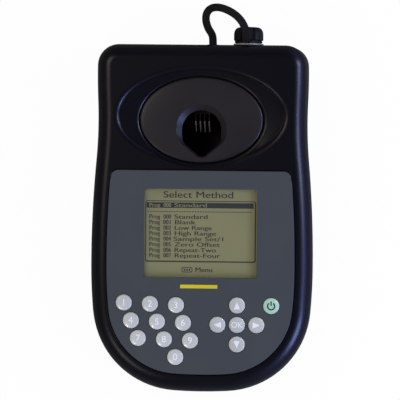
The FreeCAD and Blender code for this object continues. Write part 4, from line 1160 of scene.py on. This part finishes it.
def buildCap():
    # Fluted knob: its outline is one lobe repeated round the axis, drawn out and then closed in to a crown
    count, (edge, wide) = cap["flutes"], cap["chamfer"]
    height, size = cap["knobStart"], 1.0
    points = []
    for k in range(count * 10):
        angle = 2 * math.pi * k / 10 / count
        dip = max(0.0, math.cos(count * angle - math.pi)) ** 3
        radius = (cap["radius"] - cap["fluteDepth"] * dip) / wide
        points.append((radius * math.cos(angle), radius * math.sin(angle), height))
    knob = ringMesh("knob", points)
    edit(knob)
    bpy.ops.mesh.select_all(action="SELECT")
    bpy.ops.mesh.edge_face_add()
    steps = [(height + edge, wide), (cap["crownStart"], wide)]
    for step in range(1, 7):
        angle = math.radians(15 * step)
        up = (cap["end"] - cap["crownStart"]) * math.sin(angle)
        steps.append((cap["crownStart"] + up, cap["crown"] + (wide - cap["crown"]) * math.cos(angle)))
    for newHeight, newSize in steps:
        bpy.ops.mesh.extrude_region_move(TRANSFORM_OT_translate={"value": (0, 0, newHeight - height)})
        bpy.ops.transform.resize(value=(newSize / size, newSize / size, 1))
        height, size = newHeight, newSize
    bpy.ops.mesh.select_all(action="SELECT")
    bpy.ops.mesh.normals_make_consistent(inside=False)
    leave()
    move(knob, portFrame)
    unite(knob, portRound("neck", cap["neck"], (0, cap["start"]), (0, cap["neckEnd"])))
    cut(knob, portRound("bore", cap["bore"], (0, cap["start"] - 1), (0, cap["end"] - cap["wall"])))
    return settle(knob, "port_cap_knob", "port_cap", paints["rubber"], ["port_cap"], 40)


buildPort()
buildCap()

# Strap route from the collar's tongue to the anchor: x, distance from the port's seat, height over the port
strapRoute = (
    (29.3, 3.4, 11.6),
    (29.3, 8.4, 11.6),
    (27.9, 13.2, 12.0),
    (25.0, 17.6, 12.5),
    (20.8, 21.3, 12.4),
    (15.7, 24.0, 11.8),
    (10.4, 25.6, 10.4),
    (5.2, 25.2, 8.0),
    (1.9, 21.9, 5.0),
    (1.4, 17.1, 2.6),
    (2.9, 12.0, 0.8),
    (5.4, 8.4, 1.0),
    (6.4, 5.6, 0.0),
    (6.4, 0.95, 0.0),
)
strap = {"length": 0.066, "width": 0.0052, "thickness": 0.001, "edge": 0.0002, "held": 0.001}


def strapSection():
    # The strap's own outline: a bar with its corners taken off
    half, thick, soft = strap["width"] / 2, strap["thickness"] / 2, strap["edge"]
    corners = []
    for sx, sy in ((1, 1), (-1, 1), (-1, -1), (1, -1)):
        trio = [
            (sx * (half - 3 * soft), sy * thick, 0),
            (sx * (half - soft), sy * thick, 0),
            (sx * half, sy * (thick - soft), 0),
        ]
        corners += trio if sx * sy < 0 else trio[::-1]
    section = newCurve("strapSection")
    section.dimensions = "2D"
    addLine(section, corners, closed=True)
    return placed("strapSection", section)


def buildStrap():
    name = "cap_strap_band"
    curve = newCurve(name)
    route = [(x * mm, (port["face"] + y) * mm, (port["z"] + z) * mm) for x, y, z in strapRoute]
    line = addLine(curve, route, "NURBS")
    line.order_u = 3
    line.use_endpoint_u = True
    line.resolution_u = 8
    curve.twist_mode = "Z_UP"
    curve.use_fill_caps = True
    # The bare centre line, read as a list of points
    bare = toMesh(placed("centreLine", curve.copy()))
    centreLine = [tuple(vertex.co) for vertex in bare.data.vertices]
    bpy.data.objects.remove(bare)
    section = strapSection()
    curve.bevel_mode = "OBJECT"
    curve.bevel_object = section
    obj = toMesh(placed(name, curve))
    bpy.data.objects.remove(section)
    obj.data.name = name
    obj.data.materials.append(paints["rubber"])
    edit(obj)
    bpy.ops.mesh.select_all(action="SELECT")
    bpy.ops.mesh.remove_doubles(threshold=0.000005)
    bpy.ops.mesh.normals_make_consistent(inside=False)
    leave()
    bpy.ops.object.shade_smooth_by_angle(angle=math.radians(30))
    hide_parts("cap_strap")
    # The centre line's two end points, and the halfway points between them
    anchorEnd, collarEnd = centreLine[-1], centreLine[0]
    middle = [(first + last) / 2 for first, last in zip(anchorEnd[1:], collarEnd[1:])]
    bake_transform(obj)
    return obj


buildStrap()
print("port, cap and strap built")


# Pieces that keep the form of their CAD node, each listed with its body and given its own material

dressed = {
    "case_gasket": ("casing", "rubber"),
    "lcd_frame": ("casing", "steel"),
    "lcd_panel": ("casing", "glass"),
    "lcd_backlight": ("casing", "plain"),
    "display_board": ("casing", "board"),
    "keypad_board": ("casing", "board"),
    "key_domes": ("casing", "steel"),
    "tube_well": ("casing", "well"),
    "well_windows": ("casing", "window"),
    "tube_pusher": ("tube_pusher", "well"),
    "light_source_block": ("casing", "black"),
    "light_source_led": ("casing", "plain"),
    "collimator_lens": ("casing", "window"),
    "led_board": ("casing", "board"),
    "detector_block": ("casing", "black"),
    "interference_filters": ("casing", "filter"),
    "photodiodes": ("casing", "component"),
    "detector_board": ("casing", "board"),
    "main_board": ("casing", "board"),
    "board_components": ("casing", "component"),
    "ribbon_cables": ("casing", "cable"),
    "battery_holder": ("casing", "black"),
    "batteries": ("casing", "cell"),
    "battery_contacts": ("casing", "nickel"),
    "battery_door": ("battery_door", "casing"),
    "door_gasket": ("battery_door", "rubber"),
    "door_screws": ("battery_door", "steel"),
    "case_screws": ("casing", "steel"),
    "board_screws": ("casing", "steel"),
    "feet": ("casing", "rubber"),
    "port_seal": ("casing", "rubber"),
    "port_nut": ("casing", "nickel"),
    "usb_insert": ("casing", "black"),
    "strap_collar": ("strap_collar", "rubber"),
    "strap_anchor": ("casing", "rubber"),
    "pusher_spring": ("casing", "steel"),
}
for node, (body, colour) in dressed.items():
    obj = nodes[node]
    obj.data.materials.clear()
    obj.data.materials.append(paints[colour])


# Pieces that show: copies of the CAD form with softened edges
softened = {
    "case_gasket": 0.12,
    "battery_door": 0.5,
    "door_screws": 0.15,
    "case_screws": 0.15,
    "feet": 0.6,
    "port_seal": 0.15,
    "usb_insert": 0.12,
    "strap_collar": 0.2,
    "strap_anchor": 0.25,
    "tube_pusher": 0.2,
    "tube_well": 0.2,
}


def soften(node, radius, rides=True):
    body, colour = dressed[node]
    body = body if rides else None
    source = nodes[node]
    obj = bpy.data.objects.new(node + "_soft", source.data.copy())
    bpy.context.collection.objects.link(obj)
    move(obj, Matrix.Scale(1 / mm, 4) @ source.matrix_world)
    edit(obj)
    bpy.ops.mesh.select_all(action="SELECT")
    bpy.ops.mesh.remove_doubles(threshold=0.005)
    bpy.ops.mesh.dissolve_limited(angle_limit=math.radians(1))
    leave()
    fit(obj, "BEVEL", width=radius, segments=2, limit_method="ANGLE", angle_limit=math.radians(40))
    return settle(obj, node + "_soft", body, paints[colour], [node])


for node, radius in softened.items():
    obj = soften(node, radius)
    if node == "tube_pusher":
        # The sloping noses of its ribs are painted lighter: a painted highlight where they catch the light
        obj.data.materials.append(paints["rib"])
        for face in obj.data.polygons:
            if face.normal.y < -0.4 and face.normal.z > 0.4:
                face.material_index = 1

# The pusher's leaf spring gets a softened copy that rides on no body
leaf = soften("pusher_spring", 0.08, rides=False)
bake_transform(leaf)
print("inner pieces painted")


# Floor and light

studio = {
    "floor": (246, 247, 249),
    "floorSize": 30,
    "floorGlow": 0.96,
    "floorDimming": 0.85,
    "backdrop": 1.1,
    "sky": (246, 245, 240),
    "skyLevel": 0.67,
    "glossTop": 0.04,
    "glossSides": (0.28, 1.35),
    "glossColours": ((142, 130, 128), (104, 108, 200)),
}
# Each lamp's place and size in metres, its watts and its colour
lamps = {
    "rightLamp": ((1.25, 0.15, 0.85), 0.55, 7.0, (0.62, 0.7, 1.0)),
    "frontRightLamp": ((1.15, -0.75, 0.62), 0.6, 11.0, (0.34, 0.45, 1.0)),
    "frontLeftLamp": ((-0.75, -0.95, 1.15), 0.5, 1.4, (1.0, 0.94, 0.9)),
    "lowLeftSpark": ((-0.42, -0.72, 0.95), 0.26, 4.5, (1.0, 1.0, 1.0)),
    "highRightSpark": ((0.75, 0.5, 0.95), 0.26, 4.5, (1.0, 1.0, 1.0)),
    "leftLamp": ((-0.72, 0.1, 1.3), 0.6, 1.9, (1.0, 0.9, 0.78)),
}
# The two small lamps light these keys alone
sparkles = {"lowLeftSpark": digitCaps, "highRightSpark": otherCaps}


def floorPaint():
    # Pale floor that glows a little for the camera alone and stays dark in reflections
    paint = Paint("floor", Roughness=0.9)
    seen = paint.node("ShaderNodeLightPath", "Is Camera Ray")
    dimming = studio["floorDimming"] * (1 - seen)
    paint.set("Base Color", paint.mixed(dimming, linear(*studio["floor"]), linear(0, 0, 0)))
    surface = Flow(paint, paint.shader.outputs[0])
    glow = paint.node("ShaderNodeEmission", inputs={"Strength": 1.0})
    blend = paint.node("ShaderNodeMixShader", inputs={0: studio["floorGlow"] * seen, 1: surface, 2: glow})
    paint.feed(paint.tree.nodes["Material Output"].inputs["Surface"], blend)
    return paint.material


def buildFloor():
    pickNothing()
    bpy.ops.mesh.primitive_plane_add(size=studio["floorSize"], location=(0, 0, 0))
    floor = bpy.context.active_object
    floor.name = "floor"
    floor.data.materials.append(floorPaint())


def buildLamps():
    for name, (place, size, power, colour) in lamps.items():
        light = bpy.data.lights.new(name, "AREA")
        light.shape = "DISK"
        light.size = size
        light.energy = power
        light.color = colour
        obj = placed(name, light)
        obj.location = place
        obj.rotation_euler = (-Vector(place)).to_track_quat("-Z", "Y").to_euler()
        if name in sparkles:
            obj.light_linking.receiver_collection = sparkles[name]


def buildSky():
    # A white backdrop for the camera, and a dark surround with a bluish right side in reflections
    world = bpy.data.worlds.new("world")
    world.use_nodes = True
    sky = Graph(world.node_tree)
    seen = sky.node("ShaderNodeLightPath", "Is Camera Ray")
    glossy = sky.node("ShaderNodeLightPath", "Is Glossy Ray")
    heading = sky.node("ShaderNodeTexCoord", "Generated")
    side = sky.node("ShaderNodeSeparateXYZ", "X", inputs={0: heading}).ramp(-0.1, 0.85)
    low = 1 - sky.node("ShaderNodeSeparateXYZ", "Z", inputs={0: heading}).ramp(0.3, 0.9)
    dim, bright = studio["glossSides"]
    around = studio["glossTop"] + low * (dim + (bright - dim) * side)
    tint = sky.mixed(side, *[linear(*colour) for colour in studio["glossColours"]])
    level = studio["skyLevel"] * (1 - glossy) + around * glossy
    inputs = sky.tree.nodes["Background"].inputs
    sky.feed(inputs["Color"], sky.mixed(glossy, linear(*studio["sky"]), tint))
    sky.feed(inputs["Strength"], level * (1 - seen) + studio["backdrop"] * seen)
    bpy.context.scene.world = world


buildFloor()
buildLamps()
buildSky()
bpy.context.scene.view_settings.view_transform = "Standard"
print("scene complete")
